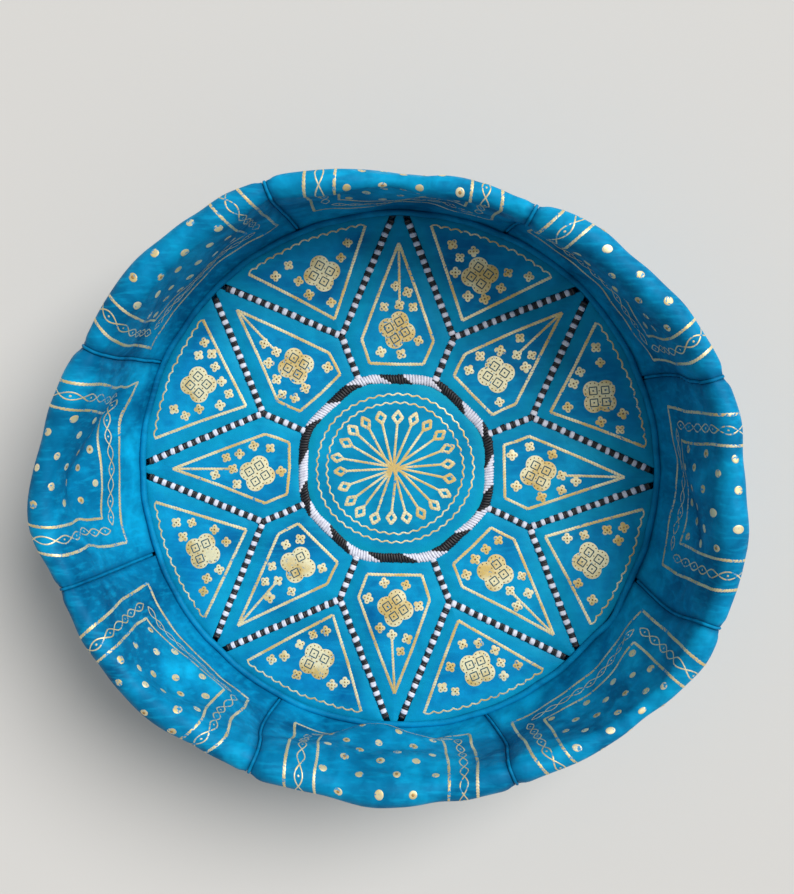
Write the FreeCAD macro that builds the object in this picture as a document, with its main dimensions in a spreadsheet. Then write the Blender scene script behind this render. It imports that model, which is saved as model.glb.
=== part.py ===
import FreeCAD, Part
import math
import os

import Sketcher

# An empty leather pouf cover that rests on its base. Its round top, a star of pieced leather, is
# pushed in, so the side wall folds outward at half its height and makes a double-walled bowl.
# Lengths are millimetres and angles degrees. Z is up, and the origin is on the floor at the middle.

DIMENSIONS = (
    ("star_points", 8, "petals of the star, and side panels below them"),
    ("bowl_length", 520, "over the fold, along X"),
    ("bowl_width", 460, "over the fold, along Y"),
    ("panel_bulge", 1.5, "swell of a side panel's middle past its seams"),
    ("panel_spans", 8, "straight spans in a panel's loft, from seam to seam"),
    ("wall_rise", 108, "straight from the disc's seam to the fold"),
    ("fold_radius", 8, "outside of the fold along the rim"),
    ("inner_bow", 9, "turn of the inner wall on each side of its chord"),
    ("outer_bow", 12, "turn of the outer wall on each side of its chord"),
    ("leather", 1.6, "thickness of the side and base leather"),
    ("seam_gap", 0.3, "clearance between pieces that are sewn together"),
    ("disc_radius", 206, "sewn edge of the pieced top"),
    ("disc_level", 28, "underside of the pieced top"),
    ("piece_height", 2.2, "petals and fans, slightly padded"),
    ("piece_round", 1.2, "turned-down edge of a petal or fan"),
    ("medallion_crown", 3.2, "centre of the medallion"),
    ("junction_radius", 118, "where a spoke meets two petal edges"),
    ("ring_radius", 77, "middle of the lacing round the medallion"),
    ("ring_width", 9.5, "lacing round the medallion"),
    ("braid_width", 5.5, "lacing along the petals"),
    ("braid_side", 1.4, "straight side of the lacing"),
    ("braid_height", 3.0, "rounded top of the lacing"),
    ("tip_spacing", 10.8, "between the two lacings at a petal's tip"),
    ("piping_radius", 2.6, "piping round the top"),
    ("piping_lift", 3.0, "middle of that piping above the disc's underside"),
    ("flange_depth", 7, "sewn flange of a piping, hidden inside"),
    ("flange_width", 0.8, "thickness of that flange"),
    ("welt_radius", 2.0, "welt in a side seam"),
    ("welt_setback", 2.5, "welt ends, back from the ends of the panels"),
    ("base_ring_radius", 207, "middle of the piping round the base"),
    ("base_piping_radius", 3.0, "piping round the base"),
    ("base_settle", 0.5, "depth of the flat that the base piping stands on"),
    ("wall_seam_angle", 60, "where the wall's edge meets the base piping"),
    ("base_seam_angle", 150, "where the base's edge meets its piping"),
    ("base_level", 8, "underside of the base"),
    ("base_flat_radius", 190, "flat part of the base, inside its sloping edge"),
    ("slot_length", 292, "opening for the zip"),
    ("slot_width", 12.4, "opening for the zip"),
    ("tape_length", 304, "zip tape"),
    ("tape_width", 20, "zip tape"),
    ("tape_thickness", 0.6, "zip tape"),
    ("tape_spacing", 2.0, "between the two tapes"),
    ("zip_seat", 0.2, "stitching between tape and leather"),
    ("chain_length", 274, "zip coil"),
    ("coil_width", 2.8, "one side of the zip coil"),
    ("coil_height", 2.4, "zip coil"),
    ("coil_spacing", 1.6, "between the two sides of the coil, for the slider's post"),
    ("stop_length", 3.0, "zip end stop"),
    ("slider_start", 128, "slider's place along X with the zip closed"),
    ("slider_length", 14, "slider"),
    ("slider_nose", 10.4, "slider's wide end"),
    ("slider_tail", 9.6, "slider's narrow end"),
    ("slider_corner", 2.0, "rounded corners of the slider"),
    ("slider_plate", 1.3, "each plate of the slider"),
    ("slider_gap", 0.3, "running clearance of the slider"),
    ("post_length", 3.5, "post between the slider's plates"),
    ("pin_drop", 2.2, "pull's pin below the slider"),
    ("pin_radius", 0.8, "pull's pin"),
    ("pin_clearance", 0.05, "running fit of the pull on its pin"),
    ("lug_radius", 1.4, "rounded end of a slider lug"),
    ("lug_thickness", 1.0, "slider lug"),
    ("eye_radius", 1.7, "outside of the pull's eye"),
    ("eye_width", 4.6, "pull's eye along its pin"),
    ("pull_length", 26, "pin to the end of the pull"),
    ("pull_width", 8, "pull"),
    ("pull_neck", 4.4, "pull where it leaves its eye"),
    ("pull_neck_length", 3, "pin to the start of the pull's flare, past the lugs"),
    ("pull_shoulder", 7, "pin to the full width of the pull"),
    ("pull_thickness", 1.6, "pull"),
    ("pull_hole", 1.8, "radius of the hole in the pull"),
    ("pull_round", 0.4, "rounded edges of the pull"),
)

FULL_TURN = 360
HALF_TURN = 180
RIGHT_ANGLE = 90
ORIGIN = (-1, 1)
X_AXIS = -1
Y_AXIS = -2
START, END, CENTRE = 1, 2, 3
SETTLE_STEPS = 8
TINY = 1e-6

doc = FreeCAD.newDocument("PoufCover")
sheet = doc.addObject("Spreadsheet::Sheet", "sizes")
for row, (alias, value, meaning) in enumerate(DIMENSIONS, start=1):
    sheet.set(f"A{row}", meaning)
    sheet.set(f"B{row}", str(value))
    sheet.setAlias(f"B{row}", alias)
doc.recompute()

# Formulas that several pieces share, in the sheet's own terms.
LEATHER_OFFSET = "(sizes.braid_width / 2 + sizes.seam_gap)"
RING_OUTSIDE = "(sizes.ring_radius + sizes.ring_width / 2 + sizes.seam_gap)"
RING_INSIDE = "(sizes.ring_radius - sizes.ring_width / 2 - sizes.seam_gap)"
PIPING_RING = "(sizes.disc_radius + sizes.seam_gap + sizes.piping_radius)"
PIPING_LEVEL = "(sizes.disc_level + sizes.piping_lift)"
BASE_PIPING_LEVEL = "(sizes.base_piping_radius - sizes.base_settle)"
TAPE_LEVEL = "(sizes.base_level + sizes.leather + sizes.zip_seat)"
COIL_LEVEL = "(sizes.base_level + sizes.leather + sizes.zip_seat - sizes.coil_height)"
OUTER_PLATE_TOP = f"({COIL_LEVEL} - sizes.slider_gap)"
OUTER_PLATE_LEVEL = f"({OUTER_PLATE_TOP} - sizes.slider_plate)"
INNER_PLATE_LEVEL = f"({TAPE_LEVEL} + sizes.tape_thickness + sizes.slider_gap)"
PIN_LEVEL = f"({OUTER_PLATE_LEVEL} - sizes.pin_drop)"
COIL_OUTSIDE = "(sizes.coil_spacing / 2 + sizes.coil_width)"

pieces = []


def number(formula):
    """The value of a formula of the sheet."""
    return float(sheet.evalExpression(formula))


def size(name):
    """One driving dimension."""
    return number("sizes." + name)


def keep(piece, label, placement=None):
    """Names a finished piece, puts it in place and marks it to be written."""
    piece.Label = label
    if placement:
        piece.Placement = placement
    pieces.append(piece)
    return piece


def turned(angle, x=0.0, y=0.0, z=0.0):
    """A placement: turned about Z, then moved."""
    rotation = FreeCAD.Rotation(FreeCAD.Vector(0, 0, 1), angle)
    return FreeCAD.Placement(FreeCAD.Vector(x, y, z), rotation)


def new_sketch(body, name, role, lift=None):
    """A sketch on one of the body's own planes, raised along its normal by a formula."""
    sketch = body.newObject("Sketcher::SketchObject", name)
    plane = next(f for f in body.Origin.OriginFeatures if f.Role == role)
    sketch.AttachmentSupport = [(plane, "")]
    sketch.MapMode = "FlatFace"
    if lift:
        sketch.setExpression("AttachmentOffset.Base.z", lift)
    return sketch


def tie(sketch, kind, *where):
    """A constraint without a size."""
    sketch.addConstraint(Sketcher.Constraint(kind, *where))


def fix(sketch, formula, kind, *where):
    """A constraint whose size follows the sheet."""
    value = number(formula)
    if kind == "Angle":
        value = math.radians(value)
    index = sketch.addConstraint(Sketcher.Constraint(kind, *where, value))
    sketch.setExpression(f"Constraints[{index}]", formula)


def line(sketch, start, end, construction=False):
    segment = Part.LineSegment(FreeCAD.Vector(*start, 0), FreeCAD.Vector(*end, 0))
    return sketch.addGeometry(segment, construction)


def arc(sketch, centre, radius, first, last):
    """An arc that runs counter-clockwise between two angles."""
    circle = Part.Circle(FreeCAD.Vector(*centre, 0), FreeCAD.Vector(0, 0, 1), radius)
    return sketch.addGeometry(Part.ArcOfCircle(circle, math.radians(first), math.radians(last)), False)


def polygon(sketch, points, closed=True):
    """Lines from point to point, joined at their ends."""
    ends = points[1:] + points[:1] if closed else points[1:]
    lines = [line(sketch, a, b) for a, b in zip(points, ends)]
    for before, after in zip(lines, lines[1:] + lines[:1]):
        if closed or before != lines[-1]:
            tie(sketch, "Coincident", before, END, after, START)
    return lines


def rectangle(sketch, left, bottom, width, height):
    """A rectangle whose low corner and sides follow formulas."""
    x, y, w, h = number(left), number(bottom), number(width), number(height)
    sides = polygon(sketch, [(x, y), (x + w, y), (x + w, y + h), (x, y + h)])
    for side, kind in zip(sides, ("Horizontal", "Vertical", "Horizontal", "Vertical")):
        tie(sketch, kind, side)
    fix(sketch, left, "DistanceX", *ORIGIN, sides[0], START)
    fix(sketch, bottom, "DistanceY", *ORIGIN, sides[0], START)
    fix(sketch, width, "DistanceX", sides[0], START, sides[0], END)
    fix(sketch, height, "DistanceY", sides[1], START, sides[1], END)
    return sides


def circle_on_origin(sketch, radius):
    ring = Part.Circle(FreeCAD.Vector(0, 0, 0), FreeCAD.Vector(0, 0, 1), number(radius))
    index = sketch.addGeometry(ring, False)
    tie(sketch, "Coincident", index, CENTRE, *ORIGIN)
    fix(sketch, radius, "Radius", index)


def crowned_profile(sketch, width, side, height, middle=None):
    """A flat-bottomed strip with straight sides and a rounded top, standing on the sketch's X axis."""
    w, low, high = number(width) / 2, number(side), number(height)
    x = number(middle) if middle else 0.0
    radius_formula = f"(({width} / 2)^2 + ({height} - {side})^2) / (2 * ({height} - {side}))"
    radius = number(radius_formula)
    spread = math.degrees(math.asin(w / radius))
    open_sides = polygon(sketch, [(x - w, low), (x - w, 0), (x + w, 0), (x + w, low)], closed=False)
    left, bottom, right = open_sides
    top = arc(sketch, (x, high - radius), radius, RIGHT_ANGLE - spread, RIGHT_ANGLE + spread)
    tie(sketch, "Coincident", right, END, top, START)
    tie(sketch, "Coincident", top, END, left, START)
    tie(sketch, "Vertical", left)
    tie(sketch, "Vertical", right)
    tie(sketch, "PointOnObject", bottom, START, X_AXIS)
    tie(sketch, "PointOnObject", bottom, END, X_AXIS)
    fix(sketch, width, "DistanceX", bottom, START, bottom, END)
    fix(sketch, side, "DistanceY", right, START, right, END)
    fix(sketch, radius_formula, "Radius", top)
    if middle:
        fix(sketch, middle, "DistanceX", *ORIGIN, top, CENTRE)
    else:
        tie(sketch, "PointOnObject", top, CENTRE, Y_AXIS)


def pad(body, sketch, length, midplane=False):
    feature = body.newObject("PartDesign::Pad", "Pad")
    feature.Profile = sketch
    feature.setExpression("Length", length)
    if midplane:
        feature.SideType = "Symmetric"
    doc.recompute()
    return feature


def revolve(body, sketch):
    """A full turn of the sketch about its own Y axis."""
    feature = body.newObject("PartDesign::Revolution", "Turn")
    feature.Profile = sketch
    feature.ReferenceAxis = (sketch, ["V_Axis"])
    feature.Angle = FULL_TURN
    doc.recompute()
    return feature


def pocket_through(body, sketch):
    """Cuts the sketch right through, both ways."""
    before = body.Shape.Volume
    feature = body.newObject("PartDesign::Pocket", "Pocket")
    feature.Profile = sketch
    feature.Type = "ThroughAll"
    feature.SideType = "Symmetric"
    doc.recompute()
    if body.Shape.Volume > before - TINY:
        raise RuntimeError("a pocket of " + body.Name + " cut nothing")
    return feature


def round_edges(body, feature, radius, wanted):
    """A fillet on the edges that a test picks."""
    names = [f"Edge{i}" for i, edge in enumerate(feature.Shape.Edges, start=1) if wanted(edge)]
    fillet = body.newObject("PartDesign::Fillet", "Round")
    fillet.Base = (feature, names)
    fillet.setExpression("Radius", radius)
    doc.recompute()
    return fillet


def lies_at(height):
    """A test for edges that lie flat at one height."""
    def test(edge):
        return abs(edge.BoundBox.ZMin - height) < TINY and abs(edge.BoundBox.ZMax - height) < TINY
    return test


def is_upright(edge):
    """A test for straight edges along Z."""
    box = edge.BoundBox
    return box.XLength < TINY and box.YLength < TINY


# The pieced top: petals and fans, cut between the centre lines of their seams.

STEP_ANGLE = FULL_TURN / size("star_points")
HALF_STEP = STEP_ANGLE / 2
DISC_PLACE = size("disc_level")


def seam_points():
    """The junction of a spoke with two petal edges, and a petal edge's outer end, for a petal on X."""
    reach = size("junction_radius")
    junction = FreeCAD.Vector(reach, 0, 0)
    junction = turned(HALF_STEP).multVec(junction)
    side = size("tip_spacing") / 2
    tip = FreeCAD.Vector(math.sqrt(size("disc_radius") ** 2 - side ** 2), side, 0)
    return junction, tip


def petal(index):
    """One kite-shaped petal: inner arc on the ring, two spoke edges, two long edges, narrow tip."""
    junction, tip = seam_points()
    offset = number(LEATHER_OFFSET)
    ring = number(RING_OUTSIDE)
    body = doc.addObject("PartDesign::Body", f"Petal{index}")
    sketch = new_sketch(body, f"PetalOutline{index}", "XY_Plane")
    spoke = line(sketch, (0, 0), (junction.x, junction.y), construction=True)
    seam = line(sketch, (junction.x, junction.y), (tip.x, tip.y), construction=True)
    tie(sketch, "Coincident", spoke, START, *ORIGIN)
    tie(sketch, "Coincident", seam, START, spoke, END)
    fix(sketch, "180 / sizes.star_points", "Angle", spoke)
    fix(sketch, "sizes.junction_radius", "Distance", spoke)
    fix(sketch, "sizes.disc_radius", "Distance", *ORIGIN, seam, END)
    fix(sketch, "sizes.tip_spacing / 2", "DistanceY", *ORIGIN, seam, END)
    spread = math.radians(HALF_STEP) - offset / ring
    root = (ring * math.cos(spread), ring * math.sin(spread))
    shoulder = (junction.x, junction.y - offset)
    point = (tip.x, tip.y - offset)
    outline = [root, shoulder, point]
    mirrored = [(x, -y) for x, y in reversed(outline)]
    upper_spoke, upper_seam, end, lower_seam, lower_spoke = polygon(
        sketch, [*outline, *mirrored], closed=False)
    inner = arc(sketch, (0, 0), ring, -math.degrees(spread), math.degrees(spread))
    tie(sketch, "Coincident", inner, CENTRE, *ORIGIN)
    tie(sketch, "Coincident", inner, START, lower_spoke, END)
    tie(sketch, "Coincident", inner, END, upper_spoke, START)
    tie(sketch, "Vertical", upper_spoke, START, lower_spoke, END)
    tie(sketch, "Symmetric", upper_seam, START, lower_seam, END, X_AXIS)
    tie(sketch, "Symmetric", end, START, end, END, X_AXIS)
    tie(sketch, "Parallel", upper_spoke, spoke)
    tie(sketch, "Parallel", upper_seam, seam)
    fix(sketch, LEATHER_OFFSET, "Distance", upper_spoke, END, spoke)
    fix(sketch, LEATHER_OFFSET, "Distance", upper_seam, END, seam)
    fix(sketch, RING_OUTSIDE, "Radius", inner)
    fix(sketch, "sizes.disc_radius", "Distance", *ORIGIN, end, START)
    solid = pad(body, sketch, "sizes.piece_height")
    round_edges(body, solid, "sizes.piece_round", lies_at(size("piece_height")))
    keep(body, f"star_petal_{index + 1}", turned(index * STEP_ANGLE, z=DISC_PLACE))


def fan(index):
    """One border fan between two petals: a point at the junction and an arc along the piping."""
    junction, tip = seam_points()
    outer = turned(HALF_STEP).multVec(FreeCAD.Vector(tip.x, -tip.y, 0))
    reach = size("junction_radius")
    rim = size("disc_radius")
    offset = number(LEATHER_OFFSET)
    body = doc.addObject("PartDesign::Body", f"Fan{index}")
    sketch = new_sketch(body, f"FanOutline{index}", "XY_Plane")
    neighbour = turned(HALF_STEP).multVec(FreeCAD.Vector(rim, 0, 0))
    axis = line(sketch, (0, 0), (neighbour.x, neighbour.y), construction=True)
    seam = line(sketch, (reach, 0), (outer.x, outer.y), construction=True)
    tie(sketch, "Coincident", axis, START, *ORIGIN)
    fix(sketch, "180 / sizes.star_points", "Angle", axis)
    fix(sketch, "sizes.disc_radius", "Distance", axis)
    tie(sketch, "PointOnObject", seam, START, X_AXIS)
    fix(sketch, "sizes.junction_radius", "DistanceX", *ORIGIN, seam, START)
    fix(sketch, "sizes.disc_radius", "Distance", *ORIGIN, seam, END)
    fix(sketch, "sizes.tip_spacing / 2", "Distance", seam, END, axis)
    spread = math.atan2(outer.y, outer.x) - offset / rim
    corner = (rim * math.cos(spread), rim * math.sin(spread))
    vertex = (reach + offset, 0)
    lower, upper = polygon(sketch, [(corner[0], -corner[1]), vertex, corner], closed=False)
    edge = arc(sketch, (0, 0), rim, -math.degrees(spread), math.degrees(spread))
    tie(sketch, "Coincident", edge, CENTRE, *ORIGIN)
    tie(sketch, "Coincident", edge, START, lower, START)
    tie(sketch, "Coincident", edge, END, upper, END)
    tie(sketch, "PointOnObject", upper, START, X_AXIS)
    tie(sketch, "Vertical", lower, START, upper, END)
    tie(sketch, "Parallel", upper, seam)
    fix(sketch, LEATHER_OFFSET, "Distance", upper, START, seam)
    fix(sketch, "sizes.disc_radius", "Radius", edge)
    solid = pad(body, sketch, "sizes.piece_height")
    round_edges(body, solid, "sizes.piece_round", lies_at(size("piece_height")))
    keep(body, f"border_fan_{index + 1}", turned(HALF_STEP + index * STEP_ANGLE, z=DISC_PLACE))


def medallion():
    """The round centre piece, with a low crown."""
    rim, side, crown = number(RING_INSIDE), size("piece_height"), size("medallion_crown")
    radius_formula = (f"({RING_INSIDE}^2 + (sizes.medallion_crown - sizes.piece_height)^2)"
                      " / (2 * (sizes.medallion_crown - sizes.piece_height))")
    radius = number(radius_formula)
    spread = math.degrees(math.asin(rim / radius))
    body = doc.addObject("PartDesign::Body", "Medallion")
    sketch = new_sketch(body, "MedallionProfile", "XZ_Plane")
    middle, bottom, edge = polygon(sketch, [(0, crown), (0, 0), (rim, 0), (rim, side)], closed=False)
    top = arc(sketch, (0, crown - radius), radius, RIGHT_ANGLE - spread, RIGHT_ANGLE)
    tie(sketch, "Coincident", edge, END, top, START)
    tie(sketch, "Coincident", top, END, middle, START)
    tie(sketch, "Coincident", bottom, START, *ORIGIN)
    tie(sketch, "Vertical", middle)
    tie(sketch, "Horizontal", bottom)
    tie(sketch, "Vertical", edge)
    tie(sketch, "PointOnObject", top, CENTRE, Y_AXIS)
    fix(sketch, RING_INSIDE, "DistanceX", bottom, START, bottom, END)
    fix(sketch, "sizes.piece_height", "DistanceY", edge, START, edge, END)
    fix(sketch, radius_formula, "Radius", top)
    revolve(body, sketch)
    keep(body, "medallion", turned(0, z=DISC_PLACE))


def ring_braid():
    """The lacing round the medallion."""
    body = doc.addObject("PartDesign::Body", "RingBraid")
    sketch = new_sketch(body, "RingProfile", "XZ_Plane")
    crowned_profile(sketch, "sizes.ring_width", "sizes.braid_side", "sizes.braid_height", "sizes.ring_radius")
    revolve(body, sketch)
    keep(body, "ring_braid", turned(0, z=DISC_PLACE))


def braid_bar(name, start, end):
    """A straight strip of lacing between two points of the disc."""
    body = doc.addObject("PartDesign::Body", name)
    sketch = new_sketch(body, name + "Section", "YZ_Plane")
    crowned_profile(sketch, "sizes.braid_width", "sizes.braid_side", "sizes.braid_height")
    run = end - start
    feature = body.newObject("PartDesign::Pad", "Pad")
    feature.Profile = sketch
    feature.Length = run.Length
    bearing = math.degrees(math.atan2(run.y, run.x))
    body.Placement = turned(bearing, start.x, start.y, DISC_PLACE)
    return body


def petal_braids():
    """Two long strips for each petal, from its junction to its tip, clear of the strips they meet."""
    junction, tip = seam_points()
    along = (tip - junction).normalize()
    seam_angle = math.degrees(math.atan2(-along.y, along.x))
    half_meeting = math.radians(HALF_STEP + seam_angle)
    half_width = size("braid_width") / 2
    start = junction + along * (half_width / math.tan(half_meeting) + size("seam_gap"))
    rim_corner = math.sqrt(size("disc_radius") ** 2 - (tip.y + half_width) ** 2)
    end = junction + along * ((rim_corner - junction.x) / along.x - half_width * abs(along.y / along.x))
    for index in range(int(size("star_points"))):
        turn = turned(index * STEP_ANGLE)
        for side, flip in (("left", 1), ("right", -1)):
            first = turn.multVec(FreeCAD.Vector(start.x, flip * start.y, 0))
            last = turn.multVec(FreeCAD.Vector(end.x, flip * end.y, 0))
            bar = braid_bar(f"PetalBraid{index}{side}", first, last)
            keep(bar, f"petal_braid_{index + 1}_{side}")


def spoke_braids():
    """The short strips between neighbouring petals, from the ring to the junctions."""
    half_width = size("braid_width") / 2
    inner = number(RING_OUTSIDE)
    outer = size("junction_radius") - half_width / 2 - size("seam_gap")
    bars = []
    for index in range(int(size("star_points"))):
        turn = turned(HALF_STEP + index * STEP_ANGLE)
        first = turn.multVec(FreeCAD.Vector(inner, 0, 0))
        last = turn.multVec(FreeCAD.Vector(outer, 0, 0))
        bars.append(braid_bar(f"SpokeBraid{index}", first, last))
    group = doc.addObject("Part::Compound", "SpokeBraids")
    group.Links = bars
    keep(group, "spoke_braids")


# Piping round the top and the base: a round cord with its flange turned into the cover.


def top_piping():
    """The cord round the disc, its flange hanging straight down in the seam."""
    radius, half_flange = size("piping_radius"), size("flange_width") / 2
    x, z = number(PIPING_RING), number(PIPING_LEVEL)
    neck = math.degrees(math.asin(half_flange / radius))
    join = z - math.sqrt(radius ** 2 - half_flange ** 2)
    low = z - size("flange_depth")
    body = doc.addObject("PartDesign::Body", "TopPiping")
    sketch = new_sketch(body, "TopPipingProfile", "XZ_Plane")
    inside, outside = x - half_flange, x + half_flange
    corners = [(inside, join), (inside, low), (outside, low), (outside, join)]
    left, bottom, right = polygon(sketch, corners, closed=False)
    outer = arc(sketch, (x, z), radius, neck - RIGHT_ANGLE, RIGHT_ANGLE)
    inner = arc(sketch, (x, z), radius, RIGHT_ANGLE, RIGHT_ANGLE + HALF_TURN - neck)
    tie(sketch, "Coincident", right, END, outer, START)
    tie(sketch, "Coincident", outer, END, inner, START)
    tie(sketch, "Coincident", inner, END, left, START)
    tie(sketch, "Coincident", outer, CENTRE, inner, CENTRE)
    tie(sketch, "Vertical", outer, CENTRE, outer, END)
    for side in (left, right):
        tie(sketch, "Vertical", side)
    tie(sketch, "Horizontal", bottom)
    fix(sketch, PIPING_RING, "DistanceX", *ORIGIN, outer, CENTRE)
    fix(sketch, PIPING_LEVEL, "DistanceY", *ORIGIN, outer, CENTRE)
    fix(sketch, "sizes.piping_radius", "Radius", outer)
    fix(sketch, "sizes.flange_width", "DistanceX", bottom, START, bottom, END)
    fix(sketch, "sizes.flange_width / 2", "DistanceX", bottom, START, outer, CENTRE)
    fix(sketch, "sizes.flange_depth", "DistanceY", bottom, START, outer, CENTRE)
    revolve(body, sketch)
    keep(body, "top_piping")


def base_piping():
    """The cord that the cover stands on, flat underneath, with its flange turned up inside."""
    radius, middle = size("base_piping_radius"), size("base_ring_radius")
    level, width = number(BASE_PIPING_LEVEL), size("flange_width")
    half_flat = math.sqrt(radius ** 2 - level ** 2)
    low = math.degrees(math.asin(level / radius))
    near = math.degrees(math.acos(width / radius - 1 / 2))
    far = math.degrees(math.acos(-1 / 2))
    inside, outside = middle - radius / 2, middle - radius / 2 + width
    high = level + radius + size("flange_depth")
    body = doc.addObject("PartDesign::Body", "BasePiping")
    sketch = new_sketch(body, "BasePipingProfile", "XZ_Plane")
    flat = line(sketch, (middle - half_flat, 0), (middle + half_flat, 0))
    outer = arc(sketch, (middle, level), radius, -low, near)
    outer_join = level + radius * math.sin(math.radians(near))
    inner_join = level + radius * math.sin(math.radians(far))
    corners = [(outside, outer_join), (outside, high), (inside, high), (inside, inner_join)]
    right, top, left = polygon(sketch, corners, closed=False)
    inner = arc(sketch, (middle, level), radius, far, HALF_TURN + low)
    tie(sketch, "Coincident", flat, END, outer, START)
    tie(sketch, "Coincident", outer, END, right, START)
    tie(sketch, "Coincident", left, END, inner, START)
    tie(sketch, "Coincident", inner, END, flat, START)
    tie(sketch, "Coincident", outer, CENTRE, inner, CENTRE)
    tie(sketch, "Equal", outer, inner)
    for end in (START, END):
        tie(sketch, "PointOnObject", flat, end, X_AXIS)
    for side in (left, right):
        tie(sketch, "Vertical", side)
    tie(sketch, "Horizontal", top)
    fix(sketch, "sizes.base_ring_radius", "DistanceX", *ORIGIN, outer, CENTRE)
    fix(sketch, BASE_PIPING_LEVEL, "DistanceY", *ORIGIN, outer, CENTRE)
    fix(sketch, "sizes.base_piping_radius", "Radius", outer)
    fix(sketch, "sizes.base_piping_radius / 2", "DistanceX", left, START, outer, CENTRE)
    fix(sketch, "sizes.flange_width", "DistanceX", left, START, right, END)
    fix(sketch, "sizes.base_piping_radius + sizes.flange_depth", "DistanceY", outer, CENTRE, left, START)
    revolve(body, sketch)
    keep(body, "base_piping")


# The side wall: eight panels that rise from the disc, fold outward and come down to the base.


def rim_radius(angle):
    """The fold's outside, at an angle from X."""
    long_half, short_half, bulge = size("bowl_length") / 2, size("bowl_width") / 2, size("panel_bulge")
    turn = math.radians(angle)
    mean = (long_half + short_half) / 2 - bulge
    oval = (long_half - short_half) / 2 * math.cos(2 * turn)
    swell = bulge * math.cos(size("star_points") * turn)
    return mean + oval + swell


def heading(angle):
    """A unit vector in the plane of the wall's section."""
    return FreeCAD.Vector(math.cos(math.radians(angle)), math.sin(math.radians(angle)), 0)


def wall_section(angle, depth):
    """Points of the wall's line at one angle, at a depth under its outside, as (radius, height).

    Nine points, the ends and middles of four arcs: the inner wall, two halves of the fold and the
    outer wall. The walls are bowed by a set turn on each side of their chords. The foot stands out
    far enough for the middle of a panel's straight span to clear the piping too.
    """
    rise, fold = size("wall_rise"), size("fold_radius")
    inner_bow, outer_bow = size("inner_bow"), size("outer_bow")
    across_span = math.cos(math.radians(HALF_STEP / size("panel_spans")))
    foot_radius = (number(PIPING_RING) + size("piping_radius") + size("seam_gap")) / across_span
    foot = FreeCAD.Vector(foot_radius, number(PIPING_LEVEL), 0)
    seat = size("base_piping_radius") + size("seam_gap")
    end = FreeCAD.Vector(size("base_ring_radius"), number(BASE_PIPING_LEVEL), 0)
    end = end + heading(size("wall_seam_angle")) * seat
    lean = RIGHT_ANGLE
    for _ in range(SETTLE_STEPS):
        top_radius = rim_radius(angle) - fold * (1 + math.sin(math.radians(lean)))
        chord_angle = math.degrees(math.acos((top_radius - foot.x) / rise))
        lean = chord_angle + inner_bow
    top = foot + heading(chord_angle) * rise
    centre = top + heading(lean - RIGHT_ANGLE) * fold
    fall = RIGHT_ANGLE
    for _ in range(SETTLE_STEPS):
        shoulder = centre + heading(fall - RIGHT_ANGLE) * fold
        drop = shoulder - end
        fall_chord = math.degrees(math.atan2(drop.y, drop.x))
        fall = fall_chord + outer_bow
    inner_sag = rise / 2 * math.tan(math.radians(inner_bow / 2))
    outer_sag = drop.Length / 2 * math.tan(math.radians(outer_bow / 2))
    inner_middle = foot + heading(chord_angle) * (rise / 2) + heading(chord_angle - RIGHT_ANGLE) * inner_sag
    outer_middle = end + drop / 2 + heading(fall_chord - RIGHT_ANGLE) * outer_sag
    crest = (lean + fall) / 2
    around_fold = (lean + RIGHT_ANGLE, (lean + RIGHT_ANGLE + crest) / 2, crest,
                   (crest + fall - RIGHT_ANGLE) / 2, fall - RIGHT_ANGLE)
    return [
        foot + heading(chord_angle - inner_bow - RIGHT_ANGLE) * depth,
        inner_middle + heading(chord_angle - RIGHT_ANGLE) * depth,
        *[centre + heading(place) * (fold - depth) for place in around_fold],
        outer_middle + heading(fall_chord + RIGHT_ANGLE) * depth,
        end + heading(fall_chord - outer_bow + RIGHT_ANGLE) * depth,
    ]


def wall_edges(points):
    """The wall's line as tangent arcs: inner wall, two halves of the fold, outer wall."""
    return [Part.Arc(*points[first:first + 3]).toShape() for first in range(0, len(points) - 1, 2)]


def stood_up(shape, angle, sideways):
    """Stands a section in (radius, height) up at an angle about Z, moved sideways from the radial plane."""
    upright = FreeCAD.Rotation(FreeCAD.Vector(1, 0, 0), RIGHT_ANGLE)
    about = FreeCAD.Rotation(FreeCAD.Vector(0, 0, 1), angle)
    shift = about.multVec(FreeCAD.Vector(0, sideways, 0))
    shape.Placement = FreeCAD.Placement(shift, about.multiply(upright))
    return shape


def panel_section(angle, sideways):
    """The closed outline of the wall's leather at one angle."""
    outside = wall_section(angle, 0)
    inside = wall_section(angle, size("leather"))
    end_cap = Part.LineSegment(outside[-1], inside[-1]).toShape()
    foot_cap = Part.LineSegment(inside[0], outside[0]).toShape()
    wire = Part.Wire([*wall_edges(outside), end_cap, *wall_edges(inside[::-1]), foot_cap])
    return stood_up(wire, angle, sideways)


def side_panel(index):
    """One panel, lofted from seam to seam, its edges parallel to the seams beside it."""
    middle = index * STEP_ANGLE
    spans = int(size("panel_spans"))
    seam_half = size("welt_radius") + size("seam_gap")
    between = [middle - HALF_STEP + STEP_ANGLE * span / spans for span in range(1, spans)]
    sections = [panel_section(middle - HALF_STEP, seam_half)]
    sections += [panel_section(angle, 0) for angle in between]
    sections.append(panel_section(middle + HALF_STEP, -seam_half))
    panel = doc.addObject("Part::Feature", f"SidePanel{index}")
    panel.Shape = Part.makeLoft(sections, True, True)
    keep(panel, f"side_panel_{index + 1}")


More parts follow.
